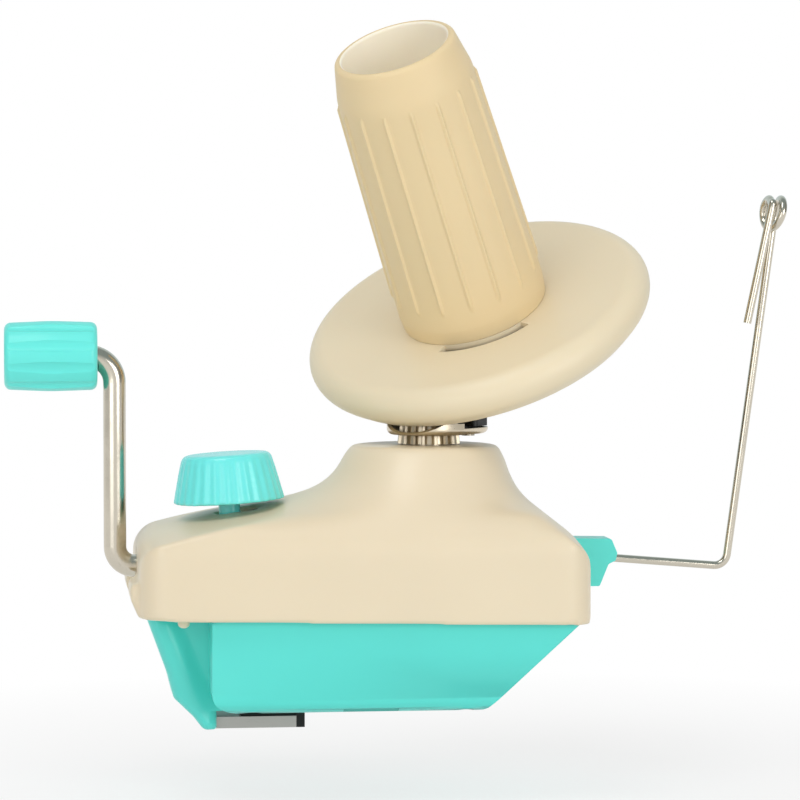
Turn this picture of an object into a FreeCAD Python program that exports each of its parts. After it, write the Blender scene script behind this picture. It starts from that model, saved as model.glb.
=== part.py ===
"""Hand-cranked yarn ball winder, clamped to a table edge.

Frame: the main (vertical) shaft is the Z axis, and Z = 0 is the flat underside that rests on
the table. X runs from the crank (left, -X) to the yarn guide (right, +X), Y runs to the back.
Sizes are millimetres.

How it works: the crank rod turns a large bevel gear, which turns a small pinion on the main
shaft four times as fast. The shaft's top carries a bent cradle with a spindle that leans over.
The winding cone and its flange turn freely on that spindle. A ring gear inside the flange's
skirt rolls on a fixed sun gear around the shaft, so the cone creeps backwards as it is carried
round and the yarn is laid in a crossed ball. All pitch cones of the head meet in one apex, the
point where spindle and shaft would cross.
"""
import FreeCAD, Part
import math
import os
from FreeCAD import Vector

os.makedirs("parts", exist_ok=True)

# Housing: plan and side outline
end_left = -91.4          # left end wall, crank side
end_right = 45.8          # right end wall, yarn guide side
half_depth = 41.0         # front and back walls of the skirt
plan_corner = 9.0         # vertical corners of the skirt
wall = 2.4                # wall of both mouldings
deck_crown_r = 230.0      # crown of the deck from front to back
deck_left_z = 53.8        # deck along its middle: left end, rounding there, brow and top
deck_left_edge = 8.5
deck_brow = (-62.0, 61.1)
deck_top = (-30.0, 63.1)
slope_top = (29.6, 63.1)  # upper and lower end of the slope above the yarn guide
slope_low_z = 50.3
slope_edge = 11.0
ridge_edge = 1.5          # rounding between the deck and the leaning walls
shoulder_z = 51.5         # where the front wall starts to lean back
shoulder_edge = 14.0
brow_half = 23.2          # half depth that the leaning walls reach at the tower's top
tower_z = 79.5            # flat top of the tower
tower_top = (22.7, -1.1)  # radius and sideways shift of the tower's top
tower_edge = 3.0          # rounding of its rim
tower_flank = (           # height, reach to the left and right, and middle of the flared flank
    (74.5, -27.4, 23.9, -1.4),
    (70.4, -30.1, 25.5, -2.2),
    (66.6, -34.9, 27.2, -3.6),
    (64.2, -41.0, 28.9, -5.0),
    (62.6, -48.0, 30.2, -6.5),
    (61.4, -55.0, 31.2, -8.0),
    (60.2, -61.0, 31.8, -9.0),
    (59.0, -66.5, 32.2, -10.0),
)
flank_proud = 0.2         # the flank stands this far out of the leaning walls and is cut flush
parting_z = 27.2          # joint between the two mouldings, at the main shaft
parting_slope = 0.0209    # the joint falls towards the guide end
bumper_proud = 2.8        # swelling along the foot of the left end wall
bumper_top = 39.5
bumper_half = 33.0
bumper_gap = 9.5          # half of the relief in it for the crank's bend

# Lower tub, with the clamp's hood at its left end
tub_set_in = 3.8          # the tub's front lies this far behind the skirt's
tub_half_top = half_depth - tub_set_in
tub_half_low = tub_half_top - 1.8
tub_left_top = -69.8
tub_left_low = -62.0
tub_right_low = 13.2
tub_right_top = 45.8      # its slope reaches this far at plate_z_ref
tub_top_ref = 30.0
tub_base_edge = 5.0       # rounding along the base
plate_lift = 1.3          # the tub's closing plate lies this far above the skirt's edge
plate_t = 2.4
plate_gap = 0.25          # gap from the plate to the skirt's inside
hood_half = 11.6          # half width of the hood
nose_z = -6.3             # lowest point of the hood's nose
screw_seat = 17.0         # the housing screws' heads sit this high in the tub's posts
post_x = (-53.0, 7.5)     # posts for the housing screws, and their distance from the skirt
post_inset = 11.5
peg_r = 2.0               # locating pegs, and their distances from the skirt
peg_inset = (13.2, 7.4)
pad_x = (-30.0, -13.0)    # rubber strip let into the base
pad_t = 1.6
pad_proud = 0.35

# Crank
crank_z = 42.3            # height of the crank's axis
rod_r = 3.5
rod_bend_top = 8.2        # bend radii at the rod's centre line
rod_bend_low = 6.0
arm_x = -97.9             # plane in which the arm sweeps
arm_len = 65.1            # from the crank's axis to the grip's axis
grip_x = (-131.7, -103.2)
grip_r = 11.0             # over the grip's lobes
grip_lobes = 10
grip_groove = 0.9
bend_room = 1.35          # recess in the grip's end, in which the rod starts to bend
bend_depth = 4.9
crank_bush_r = 4.9
run_gap = 0.05            # radial running clearance of every shaft

# Bevel pair of the crank
bevel_gear_teeth = 48
bevel_pinion_teeth = 12
bevel_cone_len = 28.86    # from the apex to the large end of the teeth
bevel_face = 7.0
bevel_backlash = 0.28

# Main shaft
shaft_r = 3.0
shaft_foot_z = 3.2
bush_wall = 1.4

# Winding head: lean, apex and gears
head_turn = 51.0          # heading of the head at rest, from +X
lean = 31.0               # spindle against the main shaft
apex_z = 168.3            # where their axes cross
sun_teeth = 16
ring_teeth = 96
sun_z = (79.8, 95.4)      # toothed length of the sun gear
ring_s = (58.9, 64.5)     # ring gear, measured down the spindle from the apex
ring_outer_r = 50.2
head_backlash = 0.17
head_addendum = 0.90
head_dedendum = 1.10

# Cradle
strap_z = 95.9            # underside of the strap on the shaft's top
strap_t = 1.3
strap_half = 12.0
strap_lean_end = -5.0
strap_bend = 10.0
seat_end = 13.0           # how far the seat runs past the spindle
spindle_r = 3.0
guard_z = 82.6            # underside of the gear guard
guard_h = 3.6
guard_t = 1.0
guard_notch = 2.0         # height of the wall that the notch leaves
guard_half = 13.3
guard_centres = (0.4, 10.2)
guard_clear = 0.6         # from the guard's hole to the sun gear's teeth
block_h = (10.8, 19.6)
block_half = 7.4
block_bulge = 10.6

# Flange
flange_r = 66.4           # corner of the rim before its rounding, and the skirt's lower edge
flange_low_r = 51.2
skirt_chamfer = 0.4       # room at the lower edge for the sun gear's teeth
flange_rim_t = -51.65     # top of the rim, measured up the spindle from the apex
flange_rim_edge = 6.1
flange_foot_t = -53.6     # top surface where the cone stands
flange_foot_r = 24.0
flange_web = 2.0
web_low_t = -58.7         # the web's underside over the ring gear
skirt_t = -65.9           # lower edge of the skirt
hub_r = 7.6
hub_t = (-65.4, -40.0)
rib_low_t = -60.4         # lower edge of the ribs under the web
slot_r = (23.6, 27.7)
slot_half_angle = 32.0
slot_middle = 35.0        # heading of the slots on the flange

# Winding cone
cone_foot_r = 22.7
cone_foot_t = -53.6
cone_base_r = 23.8
cone_base_t = -49.0
cone_neck_r = 21.65
cone_neck_t = 27.4
cone_rim_r = 19.0
cone_rim_t = 39.4
cone_lip = 1.8            # rounding of the rim, outside and inside
cone_wall = 2.0
bowl_r = (16.2, 16.9)     # the bowl in its top, at the floor and at the rim
bowl_t = 9.0
bowl_wall = 1.7
relief_t = 24.0           # the hollow round the bowl reaches up to here
rib_count = 16
rib_proud = 0.45
rib_half = 0.65
rib_t = (-42.5, 25.5)

# Clamp
clamp_y = -9.0            # the clamp's own plane, in front of the crank rod
clamp_tilt = 3.5          # its screw leans to the left
clamp_x = -59.2           # where the screw's axis meets Z = 0
screw_r = 3.0
knob_low_r = 17.35
knob_top_r = 13.9
knob_q = (62.9, 77.7)     # knob's lower and upper end, along the screw
knob_flutes = 30
knob_flute = 0.55
stem_r = 3.45
stem_slot_run = 3.8       # the deck's slot runs on to the right of the stem
strip_t = 2.0
strip_half = 8.0
strip_p = -11.0           # centre of the strip, beside the screw
tab_q = 33.0              # top of the bracket's tab with the clamp closed
foot_reach = -43.0        # free end of the foot
foot_z = (-6.4, -2.9)
nut_t = 5.0
clamp_travel = 22.0       # how far the bracket moves down

# Yarn guide
holder_half = 5.0
wire_r = 1.25
wire_in = (52.0, 43.75)    # inner end of the wire
wire_corner = (94.7, 40.25)
wire_lean = 7.85          # the upright leans outwards
wire_bend = 4.0
eye_z = 151.6
eye_r = 4.55
eye_sway = (0.3, 0.8, 1.0, 0.9, 0.35, -0.9, -2.3, -3.3, -3.6, -3.3, -2.6, -2.7, -3.35)
eye_step = 45.0           # angle between the places at which the sway is given
tail_end = (99.4, 117.3)

X = Vector(1, 0, 0)
Y = Vector(0, 1, 0)
Z = Vector(0, 0, 1)
O = Vector(0, 0, 0)


# General helpers

def save(name, shape):
    """Write one sub-part."""
    shape.exportStep("parts/%s.step" % name)


def cyl(radius, start, end):
    """Cylinder between two points."""
    run = end - start
    return Part.makeCylinder(radius, run.Length, start, run)


def tube(outer, inner, start, end):
    """Tube between two points."""
    return cyl(outer, start, end).cut(cyl(inner, start, end))


def block(x0, x1, y0, y1, z0, z1):
    """Box between two corners."""
    return Part.makeBox(x1 - x0, y1 - y0, z1 - z0, Vector(x0, y0, z0))


def rounded_face(corners, plane):
    """Face from (a, b, radius) corners, each rounded by its own radius.

    plane is "XZ", "YZ" or "XY" and says which axes a and b are.
    """
    put = {
        "XZ": lambda a, b: Vector(a, 0, b),
        "YZ": lambda a, b: Vector(0, a, b),
        "XY": lambda a, b: Vector(a, b, 0),
    }[plane]
    count = len(corners)
    ends = []
    for i, (a, b, radius) in enumerate(corners):
        here = put(a, b)
        before = put(*corners[i - 1][:2])
        after = put(*corners[(i + 1) % count][:2])
        if radius <= 0:
            ends.append((here, None, here))
            continue
        to_before = (before - here).normalize()
        to_after = (after - here).normalize()
        half = to_before.getAngle(to_after) / 2
        back = radius / math.tan(half)
        bisector = (to_before + to_after).normalize()
        middle = here + bisector * (radius / math.sin(half) - radius)
        ends.append((here + to_before * back, middle, here + to_after * back))
    edges = []
    for i, (start, middle, end) in enumerate(ends):
        if middle is not None:
            edges.append(Part.Arc(start, middle, end).toShape())
        following = ends[(i + 1) % count][0]
        if (following - end).Length > 1e-6:
            edges.append(Part.makeLine(end, following))
    return Part.Face(Part.Wire(edges))


def prism(corners, plane, low, high):
    """Rounded outline swept straight along the axis that its plane leaves out."""
    axis = {"XZ": Y, "YZ": X, "XY": Z}[plane]
    face = rounded_face(corners, plane)
    face.translate(axis * low)
    return face.extrude(axis * (high - low))


def turned(corners):
    """Solid of revolution about Z from (radius, height, rounding) corners."""
    return rounded_face(corners, "XZ").revolve(O, Z, 360)


def ring_copies(shape, count, axis=Z, first=0.0):
    """Copies of a shape, evenly spaced about an axis through the origin."""
    copies = []
    for i in range(count):
        copy = shape.copy()
        copy.rotate(O, axis, first + 360.0 * i / count)
        copies.append(copy)
    return copies


def circle_wire(radius, centre, normal=Z):
    """Closed circular wire."""
    return Part.Wire(Part.makeCircle(radius, centre, normal))


# Gear teeth, as cones over a profile on a sphere around the apex of the pitch cones

def involute_angle(angle):
    """The involute function."""
    return math.tan(angle) - angle


def tooth_flank(teeth, half_angle, addendum, dedendum, thickness, steps):
    """One flank from root to tip, as (polar angle, azimuth from the tooth's middle).

    The involute is drawn on the developed back cone of unit length, whose radius is
    tan(half_angle), and laid back on the sphere. All lengths are shares of the cone length.
    """
    pitch_r = math.tan(half_angle)
    pressure = math.radians(20)
    base_r = pitch_r * math.cos(pressure)
    middle = thickness / 2 / pitch_r + involute_angle(pressure)
    flank = []
    for i in range(steps + 1):
        rho = pitch_r - dedendum + (addendum + dedendum) * i / steps
        turn = involute_angle(math.acos(min(1.0, base_r / max(rho, base_r))))
        flank.append((half_angle + math.atan(rho - pitch_r), (middle - turn) / math.cos(half_angle)))
    return flank


def gear_outline(teeth, flank, centre_azimuth):
    """All corners round the gear, as (polar angle, azimuth)."""
    outline = []
    for i in range(teeth):
        middle = centre_azimuth + 2 * math.pi * i / teeth
        outline += [(polar, middle - side) for polar, side in flank]
        outline += [(polar, middle + side) for polar, side in reversed(flank)]
    return outline


def toothed_cone(outline, near, far):
    """Solid between two planes across the Z axis, its sides running to the apex at the origin."""
    wires = []
    for distance in (near, far):
        points = []
        for polar, azimuth in outline:
            radius = abs(distance) * math.tan(polar)
            points.append(Vector(radius * math.cos(azimuth), radius * math.sin(azimuth), distance))
        wires.append(Part.makePolygon(points + points[:1]))
    return Part.makeLoft(wires, True, True)


def solid_from_corners(low, high):
    """Solid with two four-sided ends and flat sides, from matching corner lists."""
    faces = [Part.Face(Part.makePolygon(low + low[:1])), Part.Face(Part.makePolygon(high + high[:1]))]
    for i in range(4):
        j = (i + 1) % 4
        faces.append(Part.Face(Part.makePolygon([low[i], low[j], high[j], high[i], low[i]])))
    return Part.Solid(Part.Shell(faces))


# Placing of the head and of the clamp

def on_head(shape):
    """From the head's own frame, in which the cone leans to -X, to the part's frame."""
    placed = shape.copy()
    placed.rotate(O, Z, head_turn)
    return placed


def on_spindle(shape):
    """From the spindle's frame, with the apex at the origin, to the part's frame."""
    placed = shape.copy()
    placed.rotate(O, Y, -lean)
    placed.translate(Z * apex_z)
    return on_head(placed)


def on_clamp(shape):
    """From the clamp's frame, with the screw on the Z axis, to the part's frame."""
    placed = shape.copy()
    placed.rotate(O, Y, -clamp_tilt)
    placed.translate(Vector(clamp_x, clamp_y, 0))
    return placed


# Housing

def below_parting(lift):
    """Everything below the sloping joint between the mouldings, raised by lift."""
    reach = 200.0
    left = parting_z + lift + parting_slope * reach
    right = parting_z + lift - parting_slope * reach
    return prism([(-reach, -reach, 0), (reach, -reach, 0), (reach, right, 0), (-reach, left, 0)],
                 "XZ", -reach, reach)


def plan_prism(inset, low, high):
    """The skirt's rounded rectangle, drawn in by inset."""
    radius = plan_corner - min(inset, plan_corner - 2)
    left = end_left + inset
    right = end_right - inset
    depth = half_depth - inset
    return prism([(left, -depth, radius), (right, -depth, radius), (right, depth, radius),
                  (left, depth, radius)], "XY", low, high)


def wall_half(height):
    """Half depth of the leaning front and back walls at a height."""
    return half_depth - (half_depth - brow_half) * (height - shoulder_z) / (tower_z - shoulder_z)


def flank_wire(height, left, right, middle, half):
    """Closed curve round the tower: half ovals to the left and right of its middle."""
    points = []
    for i in range(24):
        angle = math.radians(15.0 * i)
        reach = right - middle if math.cos(angle) > 0 else middle - left
        points.append(Vector(middle + reach * math.cos(angle), half * math.sin(angle), height))
    curve = Part.BSplineCurve()
    curve.interpolate(points, PeriodicFlag=True)
    return Part.Wire(curve.toShape())


def upper_form(inset):
    """Outer form of the upper moulding, drawn in by inset: a crowned deck and a flared tower."""
    top = tower_z - inset
    left = end_left + inset
    right = end_right - inset
    profile = rounded_face([(left, 0, 0), (left, deck_left_z - inset, deck_left_edge - inset),
                            (deck_brow[0], deck_brow[1] - inset, deck_crown_r),
                            (deck_top[0], deck_top[1] - inset, 60.0),
                            (slope_top[0] - inset * 0.35, slope_top[1] - inset, 4.0),
                            (right, slope_low_z - inset * 0.5, slope_edge - inset), (right, 0, 0)],
                           "XZ")
    axis_at = Vector(0, 0, deck_top[1] - deck_crown_r)
    swing = math.degrees(math.asin(half_depth / deck_crown_r)) + 4.0
    profile.rotate(axis_at, X, -swing)
    side = profile.revolve(axis_at, X, 2 * swing)
    depth = half_depth - inset
    brow = brow_half - inset
    ends = prism([(-depth, -half_depth, 0), (-depth, shoulder_z, shoulder_edge), (-brow, top, 0),
                  (brow, top, 0), (depth, shoulder_z, shoulder_edge), (depth, -half_depth, 0)],
                 "YZ", end_left, end_right)
    body = side.common(ends).common(plan_prism(inset, 0, top))
    radius, shift = tower_top
    wires = [flank_wire(top, shift - radius + inset, shift + radius - inset, shift, radius - inset)]
    for height, reach_left, reach_right, middle in tower_flank:
        wires.append(flank_wire(height - inset * 0.5, reach_left + inset, reach_right - inset, middle,
                                wall_half(height) + flank_proud - inset))
    tower = Part.makeLoft(wires, True, False)
    return body, tower, ends


def upper_housing():
    """Upper moulding: skirt, sloping deck and tower, with its bearing bosses and posts."""
    body, tower, ends = upper_form(0)
    ridge = [edge for edge in body.Edges if edge.BoundBox.ZMin > shoulder_z
             and edge.BoundBox.XLength > 1 and abs(edge.CenterOfMass.y) > brow_half
             and (edge.BoundBox.YLength > 0.05 or edge.BoundBox.ZMax > deck_brow[1] - 2)]
    body = body.makeFillet(ridge_edge, ridge)
    rim = [edge for edge in tower.Edges if edge.BoundBox.ZMin > tower_z - 0.1]
    tower = tower.makeFillet(tower_edge, rim).common(ends)
    bumper = prism([(end_left - bumper_proud, 0, 0), (end_left - bumper_proud, bumper_top, 1.2),
                    (end_left + 4, bumper_top + 1.5, 0), (end_left + 4, 0, 0)], "XZ",
                   -bumper_half, bumper_half)
    bumper = bumper.common(prism([(end_left - bumper_proud, -bumper_half, 1.8),
                                  (end_left + 4, -bumper_half - 6, 0),
                                  (end_left + 4, bumper_half + 6, 0),
                                  (end_left - bumper_proud, bumper_half, 1.8)], "XY", 0, 60))
    outer = body.fuse(tower).fuse(bumper)
    under = prism([(end_left - 6, 0, 0), (end_left - 6, 42.5, 0), (end_left + 3.0, 22.0, 0),
                   (end_left + 3.0, 0, 0)], "XZ", -half_depth, half_depth)
    relief = block(end_left - 6, end_left, -bumper_gap, bumper_gap, 0, 60)
    outer = outer.cut(under).cut(relief)
    inner_body, inner_tower, inner_ends = upper_form(wall)
    inner_tower = inner_tower.common(inner_ends)
    bosses = bearing_bosses().fuse(clamp_boss()).fuse(corner_posts())
    shell = outer.cut(inner_body.fuse(inner_tower)).fuse(bosses.common(outer))
    shell = shell.cut(below_parting(0).cut(nub_zone()))
    shell = shell.cut(housing_cuts())
    return shell.removeSplitter()


def nub_positions():
    """Locating pegs at the left end, which show under the skirt."""
    x = end_left + peg_inset[0]
    y = half_depth - peg_inset[1]
    return [(x, -y), (x, y)]


def nub_zone():
    """Space in which the locating pegs may hang below the skirt's edge."""
    zones = [cyl(2.5, Vector(x, y, 26.0), Vector(x, y, 36.0)) for x, y in nub_positions()]
    return zones[0].fuse(zones[1])


def post_positions():
    """Screw posts that hold the two mouldings together."""
    y = half_depth - post_inset
    return [(x, side * y) for x in post_x for side in (-1, 1)]


def corner_posts():
    """Posts inside the upper moulding: four for screws and two locating pegs."""
    shapes = [cyl(3.4, Vector(x, y, 0), Vector(x, y, 70)) for x, y in post_positions()]
    for x, y in nub_positions():
        peg = turned([(0, 26.3, 0), (peg_r, 26.3, 1.2), (peg_r, 60.0, 0), (0, 60.0, 0)])
        peg.translate(Vector(x, y, 0))
        shapes.append(peg)
    result = shapes[0]
    for shape in shapes[1:]:
        result = result.fuse(shape)
    return result.cut(below_parting(plate_lift + plate_t).cut(nub_zone()))


def bearing_bosses():
    """Seats of the crank rod and of the sun gear."""
    end_seat = cyl(7.6, Vector(end_left, 0, crank_z), Vector(end_left + 11, 0, crank_z))
    pillar = block(-31.0, -25.0, -8.0, 8.0, crank_z, 70.0)
    eye = cyl(8.0, Vector(-31.0, 0, crank_z), Vector(-25.0, 0, crank_z))
    collar = cyl(11.0, Vector(0, 0, 74.6), Vector(0, 0, tower_z))
    return end_seat.fuse(pillar).fuse(eye).fuse(collar)


def clamp_boss():
    """Boss under the deck in which the clamp screw turns."""
    return on_clamp(cyl(6.5, Vector(0, 0, 48.6), Vector(0, 0, 66.0)))


def housing_cuts():
    """Bores and openings of the upper moulding."""
    rod_hole = cyl(crank_bush_r, Vector(end_left - 4, 0, crank_z), Vector(-20, 0, crank_z))
    sun_hole = cyl(7.0, Vector(0, 0, 70), Vector(0, 0, tower_z + 5))
    screw_hole = on_clamp(cyl(screw_r + run_gap, O, Vector(0, 0, 70)))
    wide = stem_r + 0.45
    stem_pit = cyl(wide, O, Vector(0, 0, 20))
    stem_pit = stem_pit.fuse(cyl(wide, Vector(stem_slot_run, 0, 0), Vector(stem_slot_run, 0, 20)))
    stem_pit = stem_pit.fuse(block(0, stem_slot_run, -wide, wide, 0, 20))
    stem_pit.translate(Vector(0, 0, 53.4))
    cuts = rod_hole.fuse(sun_hole).fuse(screw_hole).fuse(on_clamp(stem_pit))
    cuts = cuts.fuse(block(39.0, 50.0, -holder_half - 0.15, holder_half + 0.15, 34.6, 50.2))
    for x, y in post_positions():
        cuts = cuts.fuse(cyl(1.3, Vector(x, y, 20), Vector(x, y, screw_seat + 28.0)))
    return cuts


def tub_form(inset, top):
    """Boat-shaped tub: sloping ends, front and back drawn in towards the base."""
    left_run = (tub_left_low - tub_left_top) / tub_top_ref
    right_run = (tub_right_top - tub_right_low) / tub_top_ref
    rise = top - tub_top_ref
    side = prism([(tub_left_low + inset * 0.9, inset, 9.0), (tub_right_low - inset * 0.6, inset, 5.0),
                  (tub_right_top + right_run * rise - inset * 1.4, top, 0),
                  (tub_left_top - left_run * rise + inset, top, 0)], "XZ", -60, 60)
    low = tub_half_low - inset
    high = tub_half_top - inset
    round_low = max(tub_base_edge - inset, 1.0)
    ends = prism([(-low, inset, round_low), (low, inset, round_low), (high, top, 0), (-high, top, 0)],
                 "YZ", -120, 120)
    return side.common(ends)


def hood_form(inset):
    """Hood at the tub's left end, which guides the clamp's strip and butts the table edge."""
    outline = [(-90.0 + inset, 31.0, 0), (-82.6 + inset, 10.8, 12.0), (-80.7 + inset, 3.4, 3.0),
               (-74.8 + inset, -2.2, 6.0), (-71.6 + inset, nose_z + inset, 2.5),
               (-67.6 - inset, nose_z + inset, 1.0), (-67.6 - inset, -0.5, 0), (-60.0, -0.5, 0),
               (-60.0, 31.0, 0)]
    hood = prism(outline, "XZ", clamp_y - hood_half + inset, clamp_y + hood_half - inset)
    if inset:
        return hood
    front = [edge for edge in hood.Edges
             if abs(abs(edge.CenterOfMass.y - clamp_y) - hood_half) < 0.01
             and edge.CenterOfMass.x < -70.5 and edge.CenterOfMass.z < 30.5]
    return hood.makeFillet(2.6, front)


def lower_housing():
    """Lower moulding: closing plate, tub, hood, shaft post and the slot for the clamp."""
    top = parting_z + plate_lift + 1.0
    plate = plan_prism(wall + plate_gap, 10, 60).common(below_parting(plate_lift + plate_t))
    plate = plate.cut(below_parting(plate_lift))
    tub = tub_form(0, top + 2)
    skirt_room = plan_prism(wall + plate_gap, -10, 60).fuse(below_parting(-0.3))
    lower = tub.fuse(hood_form(0)).common(below_parting(plate_lift + 0.5))
    body = plate.fuse(lower.common(skirt_room))
    hollow = tub_form(wall, top + 8)
    body = body.cut(hollow)
    hood_hollow = hood_form(wall).common(block(-100, -66.0, -60, 60, 3.0, 60))
    body = body.cut(hood_hollow)
    posts = [cyl(4.6, Vector(x, y, 1.0), Vector(x, y, 40)) for x, y in post_positions()]
    posts.append(cyl(7.0, Vector(0, 0, 1.0), Vector(0, 0, 11.6)))
    body = body.fuse(Part.makeCompound(posts).common(below_parting(plate_lift + plate_t)))
    body = body.cut(cyl(shaft_r + bush_wall, Vector(0, 0, shaft_foot_z), Vector(0, 0, 20)))
    body = body.cut(strip_path())
    body = body.cut(block(pad_x[0], pad_x[1], -60, 60, -1, pad_t - pad_proud))
    for x, y in post_positions():
        body = body.cut(cyl(1.6, Vector(x, y, 10), Vector(x, y, 40)))
        body = body.cut(cyl(3.3, Vector(x, y, -1), Vector(x, y, screw_seat)))
    for x, y in nub_positions():
        body = body.cut(cyl(2.6, Vector(x, y, 10), Vector(x, y, 40)))
    return body.removeSplitter()


def strip_path():
    """Room for the clamp's bracket over its whole travel."""
    gap = 0.3
    half = strip_half + gap
    left = strip_p - strip_t / 2 - gap
    right = strip_p + strip_t / 2 + gap
    slot = block(left, right, -half, half, -20, tab_q + 2)
    slot = slot.fuse(block(left, 8.0, -half, half, 3.4, tab_q + 2))
    foot = block(0, 40, -half, half, -20, 0)
    foot.translate(Vector(clamp_x + strip_p - 1.0, clamp_y, foot_z[1] + 1.2))
    return on_clamp(slot).fuse(foot)


def housing_screws():
    """Four screws, sunk into the tub's posts from below."""
    screws = []
    for x, y in post_positions():
        head = turned([(0, screw_seat - 1.8, 0), (2.6, screw_seat - 1.8, 0.7), (3.0, screw_seat, 0),
                       (0, screw_seat, 0)])
        head = head.fuse(cyl(1.3, Vector(0, 0, screw_seat - 0.1), Vector(0, 0, screw_seat + 27.0)))
        for turn in (0, 90):
            slot = block(-1.7, 1.7, -0.35, 0.35, screw_seat - 3, screw_seat - 0.9)
            slot.rotate(O, Z, turn)
            head = head.cut(slot)
        head.translate(Vector(x, y, 0))
        screws.append(head)
    return Part.makeCompound(screws)


def base_pad():
    """Rubber strip in the underside, which grips the table."""
    low = tub_half_low - 2.0
    return block(pad_x[0], pad_x[1], -low, low, -pad_proud, pad_t - pad_proud)


# Crank

def rod_path():
    """Centre line of the bent rod, from the grip's end to the bevel gear."""
    top = crank_z + arm_len
    quarter = math.sqrt(0.5)
    p1 = Vector(grip_x[0] + 2.6, 0, top)
    upper = rod_bend_top * (1 - quarter)
    lower = rod_bend_low * (1 - quarter)
    p2 = Vector(arm_x - rod_bend_top, 0, top)
    m1 = Vector(arm_x - upper, 0, top - upper)
    p3 = Vector(arm_x, 0, top - rod_bend_top)
    p4 = Vector(arm_x, 0, crank_z + rod_bend_low)
    m2 = Vector(arm_x + lower, 0, crank_z + lower)
    p5 = Vector(arm_x + rod_bend_low, 0, crank_z)
    p6 = Vector(-7.0, 0, crank_z)
    return [Part.makeLine(p1, p2), Part.Arc(p2, m1, p3).toShape(), Part.makeLine(p3, p4),
            Part.Arc(p4, m2, p5).toShape(), Part.makeLine(p5, p6)]


def crank_rod():
    """Bent steel rod, thinner inside the grip, with a groove for the gear's clip."""
    edges = rod_path()
    start = edges[1].firstVertex().Point
    rod = Part.Wire(edges[1:]).makePipeShell(
        [Part.Wire(Part.makeCircle(rod_r, start, X))], True, False)
    stub = cyl(rod_r, start - X * 0.6, start)
    pin = cyl(grip_pin_r(), edges[0].firstVertex().Point, start - X * 0.3)
    groove = tube(rod_r + 1, rod_r - 0.5, Vector(-9.3, 0, crank_z), Vector(-8.5, 0, crank_z))
    return rod.fuse(stub).fuse(pin).cut(groove).removeSplitter()


def grip_pin_r():
    """Radius of the rod's turned-down end, on which the grip spins."""
    return 2.8


def crank_grip():
    """Lobed plastic grip that spins on the rod's end."""
    axis_z = crank_z + arm_len
    length = grip_x[1] - grip_x[0]
    body = turned([(0, 0, 0), (grip_r - 0.7, 0, 2.2), (grip_r, length * 0.5, 60),
                   (grip_r - 0.5, length, 2.2), (0, length, 0)])
    groove_at = grip_r + 3.0 - grip_groove
    groove = cyl(3.0, Vector(groove_at, 0, -5), Vector(groove_at, 0, length + 5))
    for copy in ring_copies(groove, grip_lobes):
        body = body.cut(copy)
    body = body.cut(cyl(grip_pin_r() + run_gap, Vector(0, 0, 1.5), Vector(0, 0, length)))
    body = body.cut(cyl(rod_r + bend_room, Vector(0, 0, length - bend_depth), Vector(0, 0, length + 1)))
    body = body.cut(cyl(5.0, Vector(0, 0, -1), Vector(0, 0, 4.3)))
    body.rotate(O, Y, 90)
    body.translate(Vector(grip_x[0], 0, axis_z))
    return body


def grip_cap():
    """Push-on cap that keeps the grip on the rod."""
    axis_z = crank_z + arm_len
    start = Vector(grip_x[0] + 1.4, 0, axis_z)
    cap = cyl(4.6, start, start + X * 2.6)
    return cap.cut(cyl(grip_pin_r(), Vector(grip_x[0] + 2.6, 0, axis_z), start + X * 3))


def crank_bush(x0, x1):
    """Plain bush of the crank rod."""
    return tube(crank_bush_r, rod_r + run_gap, Vector(x0, 0, crank_z), Vector(x1, 0, crank_z))


def bevel_angles():
    """Pitch cone angles of the crank's gear and pinion."""
    gear = math.atan2(bevel_gear_teeth, bevel_pinion_teeth)
    return gear, math.pi / 2 - gear


def crank_gear():
    """Large bevel gear on the crank rod: hub, web, rim and 48 teeth."""
    gear_angle, pinion_angle = bevel_angles()
    module = 2 * math.sin(gear_angle) / bevel_gear_teeth
    thin = bevel_backlash / 2 / bevel_cone_len
    thickness = module * (math.pi / 2 - 2 * 0.3 * math.tan(math.radians(20))) - thin
    flank = tooth_flank(bevel_gear_teeth, gear_angle, 0.64 * module, 1.42 * module, thickness, 1)
    root = flank[0][0]
    far = bevel_cone_len
    near = bevel_cone_len - bevel_face
    spread = lambda polar, azimuth, length: Vector(
        math.sin(polar) * math.cos(azimuth), math.sin(polar) * math.sin(azimuth),
        math.cos(polar)) * (length / math.cos(polar - gear_angle))
    (root_polar, root_side), (tip_polar, tip_side) = flank
    sunk = root_polar - 0.03
    corners = [(sunk, -root_side), (tip_polar, -tip_side), (tip_polar, tip_side), (sunk, root_side)]
    tooth = solid_from_corners([spread(p, a, near) for p, a in corners],
                               [spread(p, a, far) for p, a in corners])
    face_at = lambda radius: radius / math.tan(root)
    outer = far * math.sin(gear_angle) + 0.6
    inner = near * math.sin(gear_angle) - 1.0
    back = 13.0
    rim = turned([(inner, face_at(inner), 0), (outer, face_at(outer), 0), (outer + 0.3, back, 0),
                  (inner - 1.5, back, 0)])
    web = turned([(6.0, 9.6, 0), (inner, 9.6, 0), (inner, 12.2, 0), (6.0, 12.2, 0)])
    hub = turned([(rod_r, 9.5, 0), (8.4, 9.5, 0), (8.4, 20.4, 0), (rod_r, 20.4, 0)])
    gear = rim.fuse(web).fuse(hub)
    holes = ring_copies(cyl(3.4, Vector(14.2, 0, 5), Vector(14.2, 0, 15)), 6)
    gear = gear.cut(Part.makeCompound(holes))
    gear = gear.fuse(ring_copies(tooth, bevel_gear_teeth))
    gear.rotate(O, Y, -90)
    gear.translate(Vector(0, 0, crank_z))
    return gear


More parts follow.
